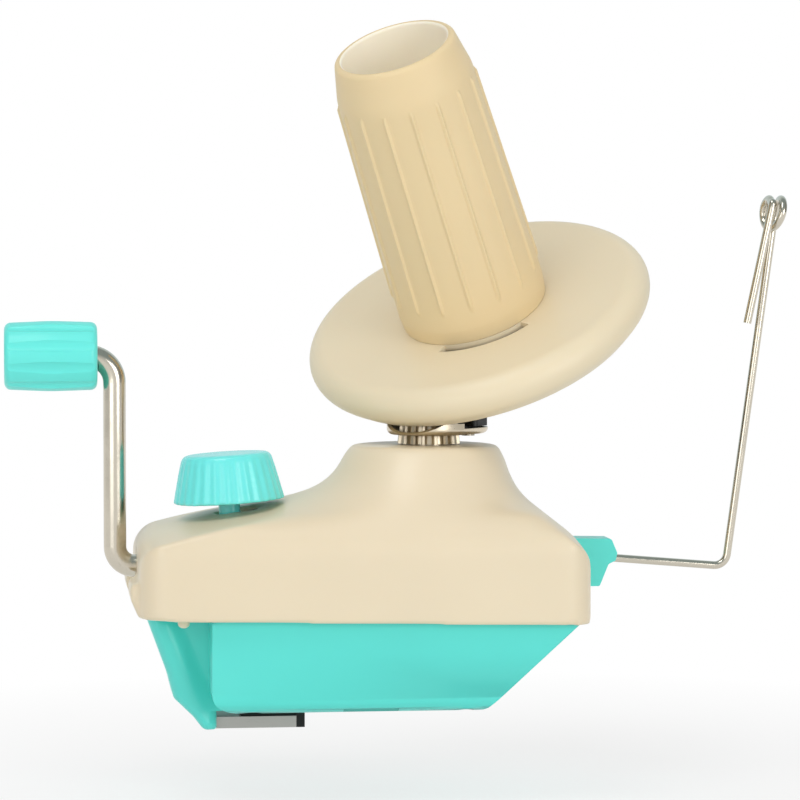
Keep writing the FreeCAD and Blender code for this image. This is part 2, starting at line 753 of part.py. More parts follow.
def drive_pinion():
    """Small bevel pinion on the main shaft, with a hub for its cross pin."""
    gear_angle, pinion_angle = bevel_angles()
    module = 2 * math.sin(pinion_angle) / bevel_pinion_teeth
    thin = bevel_backlash / 2 / bevel_cone_len
    thickness = module * (math.pi / 2 + 2 * 0.3 * math.tan(math.radians(20))) - thin
    flank = tooth_flank(bevel_pinion_teeth, pinion_angle, 1.20 * module, 0.95 * module, thickness, 3)
    half_pitch = math.pi / bevel_pinion_teeth
    outline = gear_outline(bevel_pinion_teeth, flank, math.pi + half_pitch)
    low = (bevel_cone_len - bevel_face) * math.cos(pinion_angle)
    high = bevel_cone_len * math.cos(pinion_angle)
    pinion = toothed_cone(outline, low, high)
    pinion = pinion.fuse(cyl(6.2, Vector(0, 0, high - 0.1), Vector(0, 0, high + 3.4)))
    pinion = pinion.cut(cyl(shaft_r, O, Vector(0, 0, 60)))
    pinion.translate(Vector(0, 0, crank_z))
    return pinion.cut(pinion_pin())


def pinion_pin():
    """Cross pin that locks the pinion on the shaft."""
    high = crank_z + bevel_cone_len * math.cos(bevel_angles()[1]) + 1.8
    return cyl(1.0, Vector(-5.6, 0, high), Vector(5.6, 0, high))


def crank_clip():
    """Spring clip on the rod's inner end."""
    ring = tube(6.0, rod_r - 0.5, Vector(-9.25, 0, crank_z), Vector(-8.55, 0, crank_z))
    return ring.cut(block(-10, -8, -2.2, 2.2, crank_z, crank_z + 8))


# Main shaft and its bearings

def main_shaft():
    """Vertical shaft: a shouldered head riveted over the cradle's strap."""
    shaft = cyl(shaft_r, Vector(0, 0, shaft_foot_z + 0.1), Vector(0, 0, strap_z + strap_t))
    head = turned([(0, 0, 0), (3.4, 0, 0), (3.4, 1.0, 0.6), (0, 1.0, 0)])
    head.translate(Vector(0, 0, strap_z + strap_t))
    return shaft.fuse(head).cut(pinion_pin())


def sun_angle():
    """Pitch cone half angle of the sun gear: the ring's is larger by the lean."""
    lean_rad = math.radians(lean)
    ratio = ring_teeth / sun_teeth
    return math.atan(math.sin(lean_rad) / (ratio - math.cos(lean_rad)))


def head_module():
    """Module of the head's gears, as a share of the cone length."""
    return 2 * math.sin(sun_angle()) / sun_teeth


def head_cone_len():
    """Cone length at the ring gear's lower face."""
    return ring_s[1] / math.cos(sun_angle() + math.radians(lean))


def sun_gear():
    """Fixed steel gear round the main shaft, its shank pressed into the tower."""
    module = head_module()
    thickness = module * math.pi / 2 - head_backlash / 2 / head_cone_len()
    flank = tooth_flank(sun_teeth, sun_angle(), head_addendum * module, head_dedendum * module,
                        thickness, 3)
    outline = gear_outline(sun_teeth, flank, math.pi)
    teeth = toothed_cone(outline, apex_z - sun_z[1], apex_z - sun_z[0])
    teeth.rotate(O, X, 180)
    teeth.translate(Vector(0, 0, apex_z))
    shank = cyl(7.0, Vector(0, 0, 74.7), Vector(0, 0, sun_z[0] + 0.2))
    gear = teeth.fuse(shank).cut(cyl(shaft_r + bush_wall, Vector(0, 0, 70), Vector(0, 0, 100)))
    return on_head(gear)


def shaft_bush(low, high):
    """Plain bush of the main shaft."""
    return tube(shaft_r + bush_wall, shaft_r + run_gap, Vector(0, 0, low), Vector(0, 0, high))


# Cradle

def seat_depth():
    """Distance of the seat's upper face below the apex, measured along the spindle."""
    lean_rad = math.radians(lean)
    return math.sin(lean_rad) * strap_bend + math.cos(lean_rad) * (apex_z - strap_z - strap_t)


def in_head(x, t):
    """Point of the spindle's frame in the head's upright frame, both in the plane of the lean."""
    lean_rad = math.radians(lean)
    return (x * math.cos(lean_rad) - t * math.sin(lean_rad),
            x * math.sin(lean_rad) + t * math.cos(lean_rad) + apex_z)


def cradle_strap():
    """Bent strap: flat on the shaft's top, then square to the spindle, with stiffening lips."""
    top = -seat_depth()
    low_bend = strap_bend + strap_t * math.tan(math.radians(lean / 2))
    end_top = in_head(seat_end, top)
    end_low = in_head(seat_end, top - strap_t)
    side = prism([(strap_lean_end, strap_z, 0), (low_bend, strap_z, 3.3),
                  (end_low[0], end_low[1], 0), (end_top[0], end_top[1], 0),
                  (strap_bend, strap_z + strap_t, 2.0), (strap_lean_end, strap_z + strap_t, 0)],
                 "XZ", -strap_half, strap_half)
    end = end_top[0]
    plan = prism([(strap_lean_end, -7.5, 3.0), (strap_bend, -strap_half, 6.0),
                  (end - 3.0, -strap_half, 3.0), (end + 0.5, -6.0, 4.0), (end + 0.5, 6.0, 4.0),
                  (end - 3.0, strap_half, 3.0), (strap_bend, strap_half, 6.0),
                  (strap_lean_end, 7.5, 3.0)], "XY", 80, 130)
    lip = prism([(-24.0, top, 0), (-21.5, top - 5.0, 2.0), (seat_end - 9.0, top - 5.0, 2.0),
                 (seat_end - 5.5, top, 0)], "XZ", 0, strap_t)
    near_lip = lip.copy()
    near_lip.translate(Vector(0, -strap_half, 0))
    lip.translate(Vector(0, strap_half - strap_t, 0))
    strap = on_head(side.common(plan)).fuse(on_spindle(lip)).fuse(on_spindle(near_lip))
    strap = strap.cut(cyl(shaft_r, Vector(0, 0, 90), Vector(0, 0, 110)))
    strap = strap.cut(on_spindle(cyl(spindle_r, Vector(0, 0, -80), Vector(0, 0, -50))))
    return strap.cut(cradle_rivets())


def stadium(half, low, high):
    """Prism with two round ends, along the head's X axis."""
    a, b = guard_centres
    shape = cyl(half, Vector(a, 0, low), Vector(a, 0, high))
    shape = shape.fuse(cyl(half, Vector(b, 0, low), Vector(b, 0, high)))
    return shape.fuse(block(a, b, -half, half, low, high)).removeSplitter()


def gear_guard():
    """Stamped steel dish under the flange, which keeps yarn out of the gears."""
    dish = stadium(guard_half, guard_z, guard_z + guard_h)
    edges = [edge for edge in dish.Edges if edge.BoundBox.ZMax < guard_z + 0.1]
    dish = dish.makeFillet(1.8, edges)
    dish = dish.cut(stadium(guard_half - guard_t, guard_z + guard_t, guard_z + 20))
    reach = (apex_z - guard_z) * math.tan(sun_angle()) + head_addendum * head_module() * 86
    dish = dish.cut(cyl(reach + guard_clear, Vector(0, 0, 70), Vector(0, 0, 95)))
    above = block(-90, 90, -60, 60, skirt_t - 0.6, -20)
    above.rotate(O, Y, -lean)
    above.translate(Z * apex_z)
    dish = dish.cut(above)
    notch = block(0, 30, -30, 4.0, guard_z + guard_notch, guard_z + 20)
    notch.rotate(O, Z, -38)
    notch.translate(Vector(guard_centres[1], 0, 0))
    dish = on_head(dish.cut(notch))
    return dish.cut(cradle_rivets())


def cradle_block():
    """Black moulded block between the guard and the strap's seat, bulging out of the guard's notch."""
    h0, h1 = block_h
    body = prism([(h0, -block_half, 1.5), (h1, -block_half, 1.5), (h1, block_half, 1.5),
                  (h0, block_half, 1.5)], "XY", guard_z + guard_t, 110)
    bulge = prism([(h0, -block_bulge, 1.5), (h1 - 1.2, -block_bulge, 1.5), (h1 + 1.4, -5.5, 1.0),
                   (h1 - 1.0, 0, 0), (h0, 0, 0)], "XY", guard_z + guard_notch + 0.3, 110)
    above = block(-90, 90, -60, 60, -seat_depth() - strap_t, 0)
    above.rotate(O, Y, -lean)
    above.translate(Z * apex_z)
    return on_head(body.fuse(bulge).cut(above)).cut(cradle_rivets()).removeSplitter()


def cradle_rivets():
    """Two rivets through the guard, the block and the strap's seat."""
    rivets = []
    lean_tan = math.tan(math.radians(lean))
    for side in (-5.2, 5.2):
        x = (block_h[0] + block_h[1]) / 2
        top = apex_z - seat_depth() / math.cos(math.radians(lean)) + lean_tan * x
        body = cyl(1.2, Vector(x, side, guard_z - 0.1), Vector(x, side, top + 0.9))
        body = body.fuse(cyl(2.1, Vector(x, side, guard_z - 0.9), Vector(x, side, guard_z)))
        rivets.append(on_head(body))
    return Part.makeCompound(rivets)


def spindle():
    """Leaning steel pin, riveted through the seat, with a groove for its clip."""
    top = -seat_depth()
    low = top - strap_t
    pin = cyl(spindle_r, Vector(0, 0, low), Vector(0, 0, -35.4))
    head = cyl(4.4, Vector(0, 0, low - 1.2), Vector(0, 0, low))
    groove = tube(spindle_r + 1, spindle_r - 0.5, Vector(0, 0, -38.3), Vector(0, 0, -37.5))
    return on_spindle(pin.fuse(head).cut(groove))


def spindle_washer():
    """Thrust washer between the seat and the flange's hub."""
    top = -seat_depth()
    return on_spindle(tube(6.4, spindle_r, Vector(0, 0, top), Vector(0, 0, top + 0.5)))


def spindle_clip():
    """Spring clip above the hub."""
    ring = tube(5.4, spindle_r - 0.5, Vector(0, 0, -38.25), Vector(0, 0, -37.55))
    return on_spindle(ring.cut(block(0, 8, -1.9, 1.9, -40, -36)))


# Flange and cone

def flange_disc():
    """Flange: shallow conical web, rounded rim, skirt, hub, stiffening ribs and two arc slots."""
    body = turned([(0, flange_foot_t, 0), (flange_foot_r, flange_foot_t, 0),
                   (flange_r, flange_rim_t, flange_rim_edge), (flange_low_r, skirt_t, 0.3),
                   (ring_outer_r + skirt_chamfer, skirt_t, 0), (ring_outer_r, -ring_s[1], 0),
                   (ring_outer_r, web_low_t, 0),
                   (flange_foot_r, flange_foot_t - flange_web, 0), (0, flange_foot_t - flange_web, 0)])
    body = body.fuse(cyl(hub_r, Vector(0, 0, hub_t[0]), Vector(0, 0, hub_t[1])))
    spigot = tube(cone_spigot_r(), cone_spigot_r() - 1.8, Vector(0, 0, flange_foot_t - 1),
                  Vector(0, 0, flange_foot_t + 4.0))
    body = body.fuse(spigot)
    rib = block(hub_r - 0.5, slot_r[0] - 0.6, -0.8, 0.8, rib_low_t, flange_foot_t - 1.0)
    body = body.fuse(ring_copies(rib, 6, first=30))
    sector = math.radians(slot_half_angle)
    slot = tube(slot_r[1], slot_r[0], Vector(0, 0, rib_low_t), Vector(0, 0, -50))
    wedge_points = [O, Vector(60 * math.cos(sector), -60 * math.sin(sector), 0), Vector(80, 0, 0),
                    Vector(60 * math.cos(sector), 60 * math.sin(sector), 0)]
    wedge = Part.Face(Part.makePolygon(wedge_points + [O])).extrude(Vector(0, 0, 20))
    wedge.translate(Vector(0, 0, -62))
    slot = slot.common(wedge)
    for angle in (slot_middle, slot_middle + 180):
        cut = slot.copy()
        cut.rotate(O, Z, angle)
        body = body.cut(cut)
    body = body.cut(cyl(spindle_r + 1.6, Vector(0, 0, -80), Vector(0, 0, 0)))
    for hole in ring_copies(cyl(1.7, Vector(16.0, 0, -62), Vector(16.0, 0, -45)), 3):
        body = body.cut(hole)
    return on_spindle(body)


def cone_spigot_r():
    """Radius of the flange's ring that centres the cone."""
    return cone_base_r - cone_wall - 1.6


def cone_side(t):
    """Radius of the cone's long side at a height."""
    return cone_base_r - (cone_base_r - cone_neck_r) * (t - cone_base_t) / (cone_neck_t - cone_base_t)


def winding_cone():
    """Hollow cone with 16 low ribs, a deep bowl in its top and three screw bosses inside."""
    body = turned([(0, cone_foot_t, 0), (cone_foot_r, cone_foot_t, 0.4),
                   (cone_base_r, cone_base_t, 5.0), (cone_neck_r, cone_neck_t, 14.0),
                   (cone_rim_r, cone_rim_t, cone_lip), (0, cone_rim_t, 0)])
    under = bowl_t - cone_wall
    cup_low = bowl_r[0] + bowl_wall
    cup_high = bowl_r[1] + bowl_wall
    body = body.cut(turned([(0, cone_foot_t - 1, 0), (cone_foot_r - cone_wall, cone_foot_t - 1, 0),
                            (cone_base_r - cone_wall, cone_base_t, 4.0),
                            (cone_side(relief_t) - cone_wall, relief_t, 0.4),
                            (cup_high, relief_t, 0.4), (cup_low, under, 1.5), (0, under, 0)]))
    body = body.cut(turned([(0, bowl_t, 0), (bowl_r[0], bowl_t, 1.5), (bowl_r[1], cone_rim_t + 1, 0),
                            (0, cone_rim_t + 1, 0)]))
    lip = [edge for edge in body.Edges if edge.BoundBox.ZMin > cone_rim_t - 0.05
           and edge.BoundBox.XLength < 2 * bowl_r[1] + 0.2]
    body = body.makeFillet(0.45, lip)
    low = cone_side(rib_t[0])
    high = cone_side(rib_t[1])
    rib_face = rounded_face([(low - 0.8, rib_t[0], 0), (low + rib_proud, rib_t[0] + 1.2, 0),
                             (high + rib_proud, rib_t[1] - 1.2, 0), (high - 0.8, rib_t[1], 0)], "XZ")
    rib_face.translate(Vector(0, -rib_half, 0))
    rib = rib_face.extrude(Vector(0, 2 * rib_half, 0))
    body = body.fuse(ring_copies(rib, rib_count, first=180))
    bosses = ring_copies(cyl(3.6, Vector(16.0, 0, cone_foot_t), Vector(16.0, 0, -34.0)), 3)
    webs = ring_copies(block(16.0, cone_base_r - 1.0, -0.8, 0.8, cone_foot_t + 4.3, -36.0), 3)
    body = body.fuse(bosses).fuse(webs)
    body = body.cut(tube(cone_spigot_r() + 0.1, cone_spigot_r() - 1.9, Vector(0, 0, cone_foot_t - 1),
                         Vector(0, 0, cone_foot_t + 4.1)))
    pilots = ring_copies(cyl(1.3, Vector(16.0, 0, cone_foot_t - 1), Vector(16.0, 0, -38.0)), 3)
    body = body.cut(Part.makeCompound(pilots))
    return on_spindle(body)


def cone_screws():
    """Three screws from under the flange into the cone's bosses."""
    seat = flange_foot_t - flange_web
    screws = []
    for shape in ring_copies(cyl(1.3, Vector(16.0, 0, seat - 0.1), Vector(16.0, 0, -39.0)), 3):
        screws.append(shape)
    heads = ring_copies(cyl(2.8, Vector(16.0, 0, seat - 1.9), Vector(16.0, 0, seat)), 3)
    return on_spindle(Part.makeCompound([a.fuse(b) for a, b in zip(screws, heads)]))


def spindle_bush():
    """Bush inside the flange's hub."""
    low = hub_t[0] + 0.1
    return on_spindle(tube(spindle_r + 1.6, spindle_r + run_gap, Vector(0, 0, low),
                           Vector(0, 0, hub_t[1] + 0.8)))


def ring_gear():
    """Internal bevel ring of 96 teeth inside the flange's skirt."""
    module = head_module()
    space = module * math.pi / 2 + head_backlash / 2 / head_cone_len()
    angle = sun_angle() + math.radians(lean)
    flank = tooth_flank(ring_teeth, angle, 1.15 * module, 0.80 * module, space, 1)
    outline = gear_outline(ring_teeth, flank, math.pi)
    hole = toothed_cone(outline, -ring_s[0] + 0.5, -ring_s[1] - 0.5)
    body = cyl(ring_outer_r, Vector(0, 0, -ring_s[1]), Vector(0, 0, -ring_s[0]))
    return on_spindle(body.cut(hole))


# Clamp

def clamp_knob():
    """Fluted knob, hollow underneath, with a stem that reaches into the deck's slot."""
    low, high = knob_q
    wires = []
    for radius, height in ((knob_low_r, low), (knob_top_r, high)):
        points = []
        for i in range(4 * knob_flutes):
            angle = math.pi / 2 * i / knob_flutes
            reach = radius - knob_flute / 2 * (1 - math.cos(knob_flutes * angle))
            points.append(Vector(reach * math.cos(angle), reach * math.sin(angle), height))
        curve = Part.BSplineCurve()
        curve.interpolate(points, PeriodicFlag=True)
        wires.append(Part.Wire(curve.toShape()))
    body = Part.makeLoft(wires, True, True)
    envelope = turned([(0, low, 0), (knob_low_r + 1, low, 0), (knob_low_r + 0.2, low + 0.9, 0),
                       (knob_top_r - 0.3, high, 2.6), (0, high + 0.5, 0)])
    body = body.common(envelope)
    body = body.cut(turned([(0, low - 1, 0), (knob_low_r - 2.6, low - 1, 0),
                            (knob_top_r - 2.6, high - 2.8, 2.0), (0, high - 2.8, 0)]))
    body = body.fuse(cyl(6.2, Vector(0, 0, low + 1.0), Vector(0, 0, high - 1.5)))
    body = body.fuse(cyl(stem_r, Vector(0, 0, 53.9), Vector(0, 0, high - 2)))
    body = body.cut(cyl(screw_r, Vector(0, 0, 40), Vector(0, 0, high - 4.2)))
    return on_clamp(body)


def clamp_screw():
    """Long screw fixed in the knob, with a groove for its clip."""
    low = tab_q - strip_t - nut_t - clamp_travel
    screw = cyl(screw_r, Vector(0, 0, low), Vector(0, 0, knob_q[1] - 4.2))
    groove = tube(screw_r + 1, screw_r - 0.5, Vector(0, 0, 47.4), Vector(0, 0, 48.2))
    tip = turned([(screw_r - 0.8, low - 0.1, 0), (screw_r + 1, low - 0.1, 0), (screw_r + 1, low + 1.7, 0)])
    return on_clamp(screw.cut(groove).cut(tip))


def screw_clip():
    """Spring clip that stops the screw from lifting."""
    ring = tube(5.0, screw_r - 0.5, Vector(0, 0, 47.45), Vector(0, 0, 48.15))
    return on_clamp(ring.cut(block(-8, 0, -1.8, 1.8, 47, 49)))


def clamp_bracket():
    """Bent steel bracket: tab with the nut, strip down the hood, channel-shaped foot."""
    left = strip_p - strip_t / 2
    right = strip_p + strip_t / 2
    strip = prism([(left, foot_z[0], 0), (right, foot_z[0], 0), (right, tab_q - strip_t, 1.0),
                   (6.5, tab_q - strip_t, 0), (6.5, tab_q, 0), (left, tab_q, 2.6)], "XZ",
                  -strip_half, strip_half)
    strip = strip.cut(cyl(screw_r + 0.4, Vector(0, 0, 0), Vector(0, 0, 60)))
    bracket = on_clamp(strip)
    start = clamp_x + left + 1.4
    foot = block(start, foot_reach, clamp_y - strip_half, clamp_y + strip_half, foot_z[0], foot_z[1])
    groove = block(start + 3, foot_reach + 1, clamp_y - strip_half + 1.6, clamp_y + strip_half - 1.6,
                   foot_z[0] - 1, foot_z[1] - 1.8)
    trim = block(-200, 200, -60, 60, -30, foot_z[0])
    return bracket.fuse(foot.cut(groove)).cut(trim).removeSplitter()


def clamp_nut():
    """Square nut welded under the bracket's tab."""
    nut = block(-5, 5, -5, 5, tab_q - strip_t - nut_t, tab_q - strip_t)
    return on_clamp(nut.cut(cyl(screw_r + run_gap, Vector(0, 0, 0), Vector(0, 0, 60))))


def clamp_pad():
    """Rubber cap over the foot's free end and its upper face."""
    half = strip_half
    end = block(foot_reach, foot_reach + 2.6, clamp_y - half, clamp_y + half, foot_z[0], foot_z[1] + 0.8)
    sole = block(foot_reach - 17.0, foot_reach, clamp_y - half + 0.8, clamp_y + half - 0.8,
                 foot_z[1], foot_z[1] + 0.8)
    return end.fuse(sole).removeSplitter()


# Yarn guide

def guide_holder():
    """Moulded holder let into the right end wall, bored for the wire."""
    outline = [(40.4, 50.0, 1.0), (57.2, 49.7, 1.2), (59.1, 45.2, 0.8), (58.6, 42.8, 0.8),
               (56.3, 41.7, 1.0), (53.5, 34.8, 0.8), (40.4, 34.8, 1.0)]
    body = prism(outline, "XZ", -holder_half, holder_half)
    catch = block(38.4, 43.2, -holder_half, holder_half, 37.0, 47.6)
    return body.fuse(catch).cut(wire_bore()).removeSplitter()


def wire_direction():
    """Direction of the wire's level part, falling slightly outwards."""
    return Vector(wire_corner[0] - wire_in[0], 0, wire_corner[1] - wire_in[1]).normalize()


def wire_bore():
    """Bore of the holder in which the wire turns."""
    start = Vector(wire_in[0], 0, wire_in[1]) - wire_direction() * 0.3
    return cyl(wire_r + run_gap, start, start + wire_direction() * 12)


def eye_curve(start_x):
    """Turn and a half of the eye, as points round an axis along X.

    The wire climbs behind, comes over the right loop, drops in front, passes below, climbs
    again behind on the left, and comes over the left loop into its straight tail.
    """
    points = []
    for i, sway in enumerate(eye_sway):
        angle = math.radians(eye_step * i)
        points.append(Vector(start_x + sway, -eye_r + eye_r * math.cos(angle),
                             eye_z + eye_r * math.sin(angle)))
    return points


def guide_wire():
    """Steel wire arm: level part, bend, leaning upright, double eye and free tail."""
    level = wire_direction()
    lean_rad = math.radians(wire_lean)
    up = Vector(math.sin(lean_rad), 0, math.cos(lean_rad))
    corner = Vector(wire_corner[0], 0, wire_corner[1])
    half = (level * -1).getAngle(up) / 2
    back = wire_bend / math.tan(half)
    bisector = (up - level).normalize()
    middle = corner + bisector * (wire_bend / math.sin(half) - wire_bend)
    start = Vector(wire_in[0], 0, wire_in[1])
    bend_in = corner - level * back
    bend_out = corner + up * back
    climb = (eye_z - 5.0 - corner.z) / up.z
    shoulder = corner + up * climb
    eye = eye_curve((corner + up * ((eye_z - corner.z) / up.z)).x)
    tail_low = Vector(tail_end[0], -2 * eye_r, tail_end[1])
    tail_dir = (tail_low - eye[-1]).normalize()
    curve = Part.BSplineCurve()
    curve.interpolate([shoulder] + eye, InitialTangent=up, FinalTangent=tail_dir)
    edges = [Part.makeLine(start, bend_in), Part.Arc(bend_in, middle, bend_out).toShape(),
             Part.makeLine(bend_out, shoulder), curve.toShape(), Part.makeLine(eye[-1], tail_low)]
    profile = Part.Wire(Part.makeCircle(wire_r, start, level))
    return Part.Wire(edges).makePipeShell([profile], True, False)


def build():
    """Make and save every sub-part."""
    save("upper_housing", upper_housing())
    save("lower_housing", lower_housing())
    save("housing_screws", housing_screws())
    save("base_pad", base_pad())
    save("sun_gear", sun_gear())
    save("shaft_upper_bush", shaft_bush(75.0, 95.2))
    save("shaft_lower_bush", shaft_bush(shaft_foot_z, 11.4))
    save("crank_outer_bush", crank_bush(end_left + 0.2, end_left + 10.8))
    save("crank_inner_bush", crank_bush(-31.2, -24.6))
    save("crank_rod", crank_rod())
    save("crank_grip", crank_grip())
    save("grip_cap", grip_cap())
    save("crank_gear", crank_gear())
    save("crank_clip", crank_clip())
    save("main_shaft", main_shaft())
    save("drive_pinion", drive_pinion())
    save("pinion_pin", pinion_pin())
    save("cradle_strap", cradle_strap())
    save("gear_guard", gear_guard())
    save("cradle_block", cradle_block())
    save("cradle_rivets", cradle_rivets())
    save("spindle", spindle())
    save("spindle_washer", spindle_washer())
    save("spindle_clip", spindle_clip())
    save("flange_disc", flange_disc())
    save("ring_gear", ring_gear())
    save("winding_cone", winding_cone())
    save("cone_screws", cone_screws())
    save("spindle_bush", spindle_bush())
    save("clamp_knob", clamp_knob())
    save("clamp_screw", clamp_screw())
    save("screw_clip", screw_clip())
    save("clamp_bracket", clamp_bracket())
    save("clamp_nut", clamp_nut())
    save("clamp_pad", clamp_pad())
    save("guide_holder", guide_holder())
    save("guide_wire", guide_wire())


build()
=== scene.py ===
"""Looks of the yarn ball winder: materials, modelled skins, stage, light and camera.

Metres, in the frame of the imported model: the main shaft is the Z axis, Z = 0 is the tub's flat
underside, +X points to the yarn guide and +Y away from the camera. The sections follow the winder
as it is put together, from the tub up to the winding cone, then the clamp and the yarn guide.
"""
import math
import bmesh
import bpy
import numpy as np
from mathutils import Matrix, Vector


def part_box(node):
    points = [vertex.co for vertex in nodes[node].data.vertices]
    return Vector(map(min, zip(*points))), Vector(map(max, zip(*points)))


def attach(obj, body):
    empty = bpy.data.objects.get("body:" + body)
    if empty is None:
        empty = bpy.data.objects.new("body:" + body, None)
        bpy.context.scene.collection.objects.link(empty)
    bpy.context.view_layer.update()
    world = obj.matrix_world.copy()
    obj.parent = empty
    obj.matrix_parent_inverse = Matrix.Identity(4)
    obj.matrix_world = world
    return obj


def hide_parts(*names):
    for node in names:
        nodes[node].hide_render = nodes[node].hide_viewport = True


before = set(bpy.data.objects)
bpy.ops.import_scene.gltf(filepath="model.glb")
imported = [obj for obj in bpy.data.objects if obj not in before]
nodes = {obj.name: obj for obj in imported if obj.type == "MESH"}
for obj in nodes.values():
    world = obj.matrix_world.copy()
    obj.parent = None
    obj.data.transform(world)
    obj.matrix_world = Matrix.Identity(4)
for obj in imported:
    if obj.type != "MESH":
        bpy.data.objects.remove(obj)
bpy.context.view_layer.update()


# Lower moulding
# The boat-shaped tub with the clamp's hood at its left end, injection moulded in mint plastic. Its
# closing plate sits inside the upper moulding's skirt, and four screws draw the two together.

FLOAT = "NodeSocketFloat"


def srgb(red, green, blue):
    """Linear colour from 0..255 screen values."""
    def one(value):
        value /= 255
        return value / 12.92 if value <= 0.04045 else ((value + 0.055) / 1.055) ** 2.4
    return (one(red), one(green), one(blue), 1.0)


def new_group(name, inputs, outputs):
    """Empty shader node group with the given sockets, as (name, type, default) triples."""
    group = bpy.data.node_groups.new(name, "ShaderNodeTree")
    for label, kind, default in inputs:
        socket = group.interface.new_socket(name=label, in_out="INPUT", socket_type=kind)
        socket.default_value = default
    for label, kind in outputs:
        group.interface.new_socket(name=label, in_out="OUTPUT", socket_type=kind)
    given = group.nodes.new("NodeGroupInput").outputs
    result = group.nodes.new("NodeGroupOutput").inputs
    return group, given, result


def add(tree, kind, **settings):
    """New node. A setting sets the attribute of that name, or else an input; i0, i1 are its first inputs."""
    node = tree.nodes.new("ShaderNode" + kind)
    for key, value in settings.items():
        if hasattr(node, key):
            setattr(node, key, value)
            continue
        socket = node.inputs[int(key[1:])] if key[0] == "i" and key[1:].isdigit() else node.inputs[key]
        if isinstance(value, bpy.types.NodeSocket):
            tree.links.new(value, socket)
        else:
            socket.default_value = value
    return node


def calc(tree, operation, *values):
    """Output of a Math node."""
    numbers = {f"i{i}": value for i, value in enumerate(values)}
    return add(tree, "Math", operation=operation, **numbers).outputs[0]


def span(tree, value, low, high, to_low=0.0, to_high=1.0):
    """Value from low..high laid onto to_low..to_high and held there."""
    node = add(tree, "MapRange", Value=value)
    for label, number in (("From Min", low), ("From Max", high), ("To Min", to_low), ("To Max", to_high)):
        node.inputs[label].default_value = number
    return node.outputs[0]


def plastic_effect():
    """Spark-eroded grain, slow waviness of the wall, handling marks in the gloss and painted shade in the
    corners.
    """
    group, given, result = new_group(
        "moulded_plastic",
        [("Grain", FLOAT, 0.5), ("Waviness", FLOAT, 0.5), ("Roughness", FLOAT, 0.4)],
        [("Height", FLOAT), ("Roughness", FLOAT), ("Corner_shade", FLOAT), ("Shade", FLOAT)])
    place = add(group, "TexCoord").outputs["Object"]
    grain = add(group, "TexNoise", Vector=place, Scale=2600.0, Detail=3.0, Roughness=0.6)
    waves = add(group, "TexNoise", Vector=place, Scale=30.0, Detail=1.0, Roughness=0.4)
    marks = add(group, "TexNoise", Vector=place, Scale=60.0, Detail=1.0, Roughness=0.4)
    fine = calc(group, "MULTIPLY", grain.outputs[0], given["Grain"])
    slow = calc(group, "MULTIPLY", waves.outputs[0], given["Waviness"])
    fine_height = calc(group, "MULTIPLY", fine, 0.000022)
    group.links.new(calc(group, "MULTIPLY_ADD", slow, 0.0003, fine_height), result["Height"])
    spread = span(group, marks.outputs[0], 0.2, 0.8, -0.03, 0.05)
    group.links.new(calc(group, "ADD", given["Roughness"], spread), result["Roughness"])
    # Painted shade: where the ambient occlusion is low, in corners and hollows, the colour darkens.
    corner = add(group, "AmbientOcclusion", Distance=0.003)
    corner.samples = 8
    group.links.new(span(group, corner.outputs["AO"], 0.32, 0.02), result["Corner_shade"])
    group.links.new(span(group, waves.outputs[0], 0.3, 0.7, -0.012, 0.012), result["Shade"])
    return group


plastic_group = plastic_effect()


def start_material(name, group, **values):
    """Material with one effect node and one Principled BSDF, joined by a bump."""
    material = bpy.data.materials.new(name)
    material.use_nodes = True
    tree = material.node_tree
    shader = tree.nodes["Principled BSDF"]
    detail = tree.nodes.new("ShaderNodeGroup")
    detail.node_tree = group
    for key, value in values.items():
        detail.inputs[key].default_value = value
    bump = add(tree, "Bump", Height=detail.outputs["Height"], Strength=1.0, Distance=1.0)
    tree.links.new(bump.outputs[0], shader.inputs["Normal"])
    tree.links.new(detail.outputs["Roughness"], shader.inputs["Roughness"])
    return material, tree, detail, shader


def plastic(name, colour, corner_shade_colour, grain, waviness, rough, gloss=0.5, glow=0.0):
    """Moulded plastic of one colour, darkened towards a second colour in its corners: painted shade."""
    material, tree, detail, shader = start_material(
        name, plastic_group, Grain=grain, Waviness=waviness, Roughness=rough)
    value = calc(tree, "ADD", detail.outputs["Shade"], 1.0)
    tone = add(tree, "HueSaturation", Color=colour, Value=value)
    # The corner mask mixes in the darker second colour, which is painted shade in the hollows.
    amount = calc(tree, "MULTIPLY", detail.outputs["Corner_shade"], 0.5)
    mix = add(tree, "MixRGB", Fac=amount, Color1=tone.outputs[0], Color2=corner_shade_colour)
    tree.links.new(mix.outputs[0], shader.inputs["Base Color"])
    shader.inputs["Specular IOR Level"].default_value = gloss
    shader.inputs["Subsurface Weight"].default_value = glow
    shader.inputs["Subsurface Radius"].default_value = (0.004, 0.003, 0.002)
    shader.inputs["Subsurface Scale"].default_value = 0.6
    return material


# Each plastic's second colour is its painted shade in corners and hollows.
mint = plastic("mint", srgb(92, 226, 215), corner_shade_colour=srgb(40, 150, 140),
               grain=0.25, waviness=0.5, rough=0.30, glow=0.06)


def cad_copy(node, name, cuts=()):
    """Copy of a CAD node as one welded mesh, with edges cut along (point, normal) planes."""
    mesh = nodes[node].data.copy()
    mesh.name = name
    piece = bpy.data.objects.new(name, mesh)
    bpy.context.scene.collection.objects.link(piece)
    shape = bmesh.new()
    shape.from_mesh(mesh)
    bmesh.ops.remove_doubles(shape, verts=shape.verts, dist=2e-6)
    for place, normal in cuts:
        bmesh.ops.bisect_plane(shape, geom=shape.verts[:] + shape.edges[:] + shape.faces[:],
                               dist=1e-7, plane_co=place, plane_no=normal)
    shape.to_mesh(mesh)
    shape.free()
    return piece


def points_of(piece):
    """All vertices of a piece as an array of points."""
    flat = np.empty(3 * len(piece.data.vertices))
    piece.data.vertices.foreach_get("co", flat)
    return flat.reshape(-1, 3)


def move_points(piece, point):
    """Give a piece's vertices new places."""
    piece.data.vertices.foreach_set("co", point.ravel())
    piece.data.update()


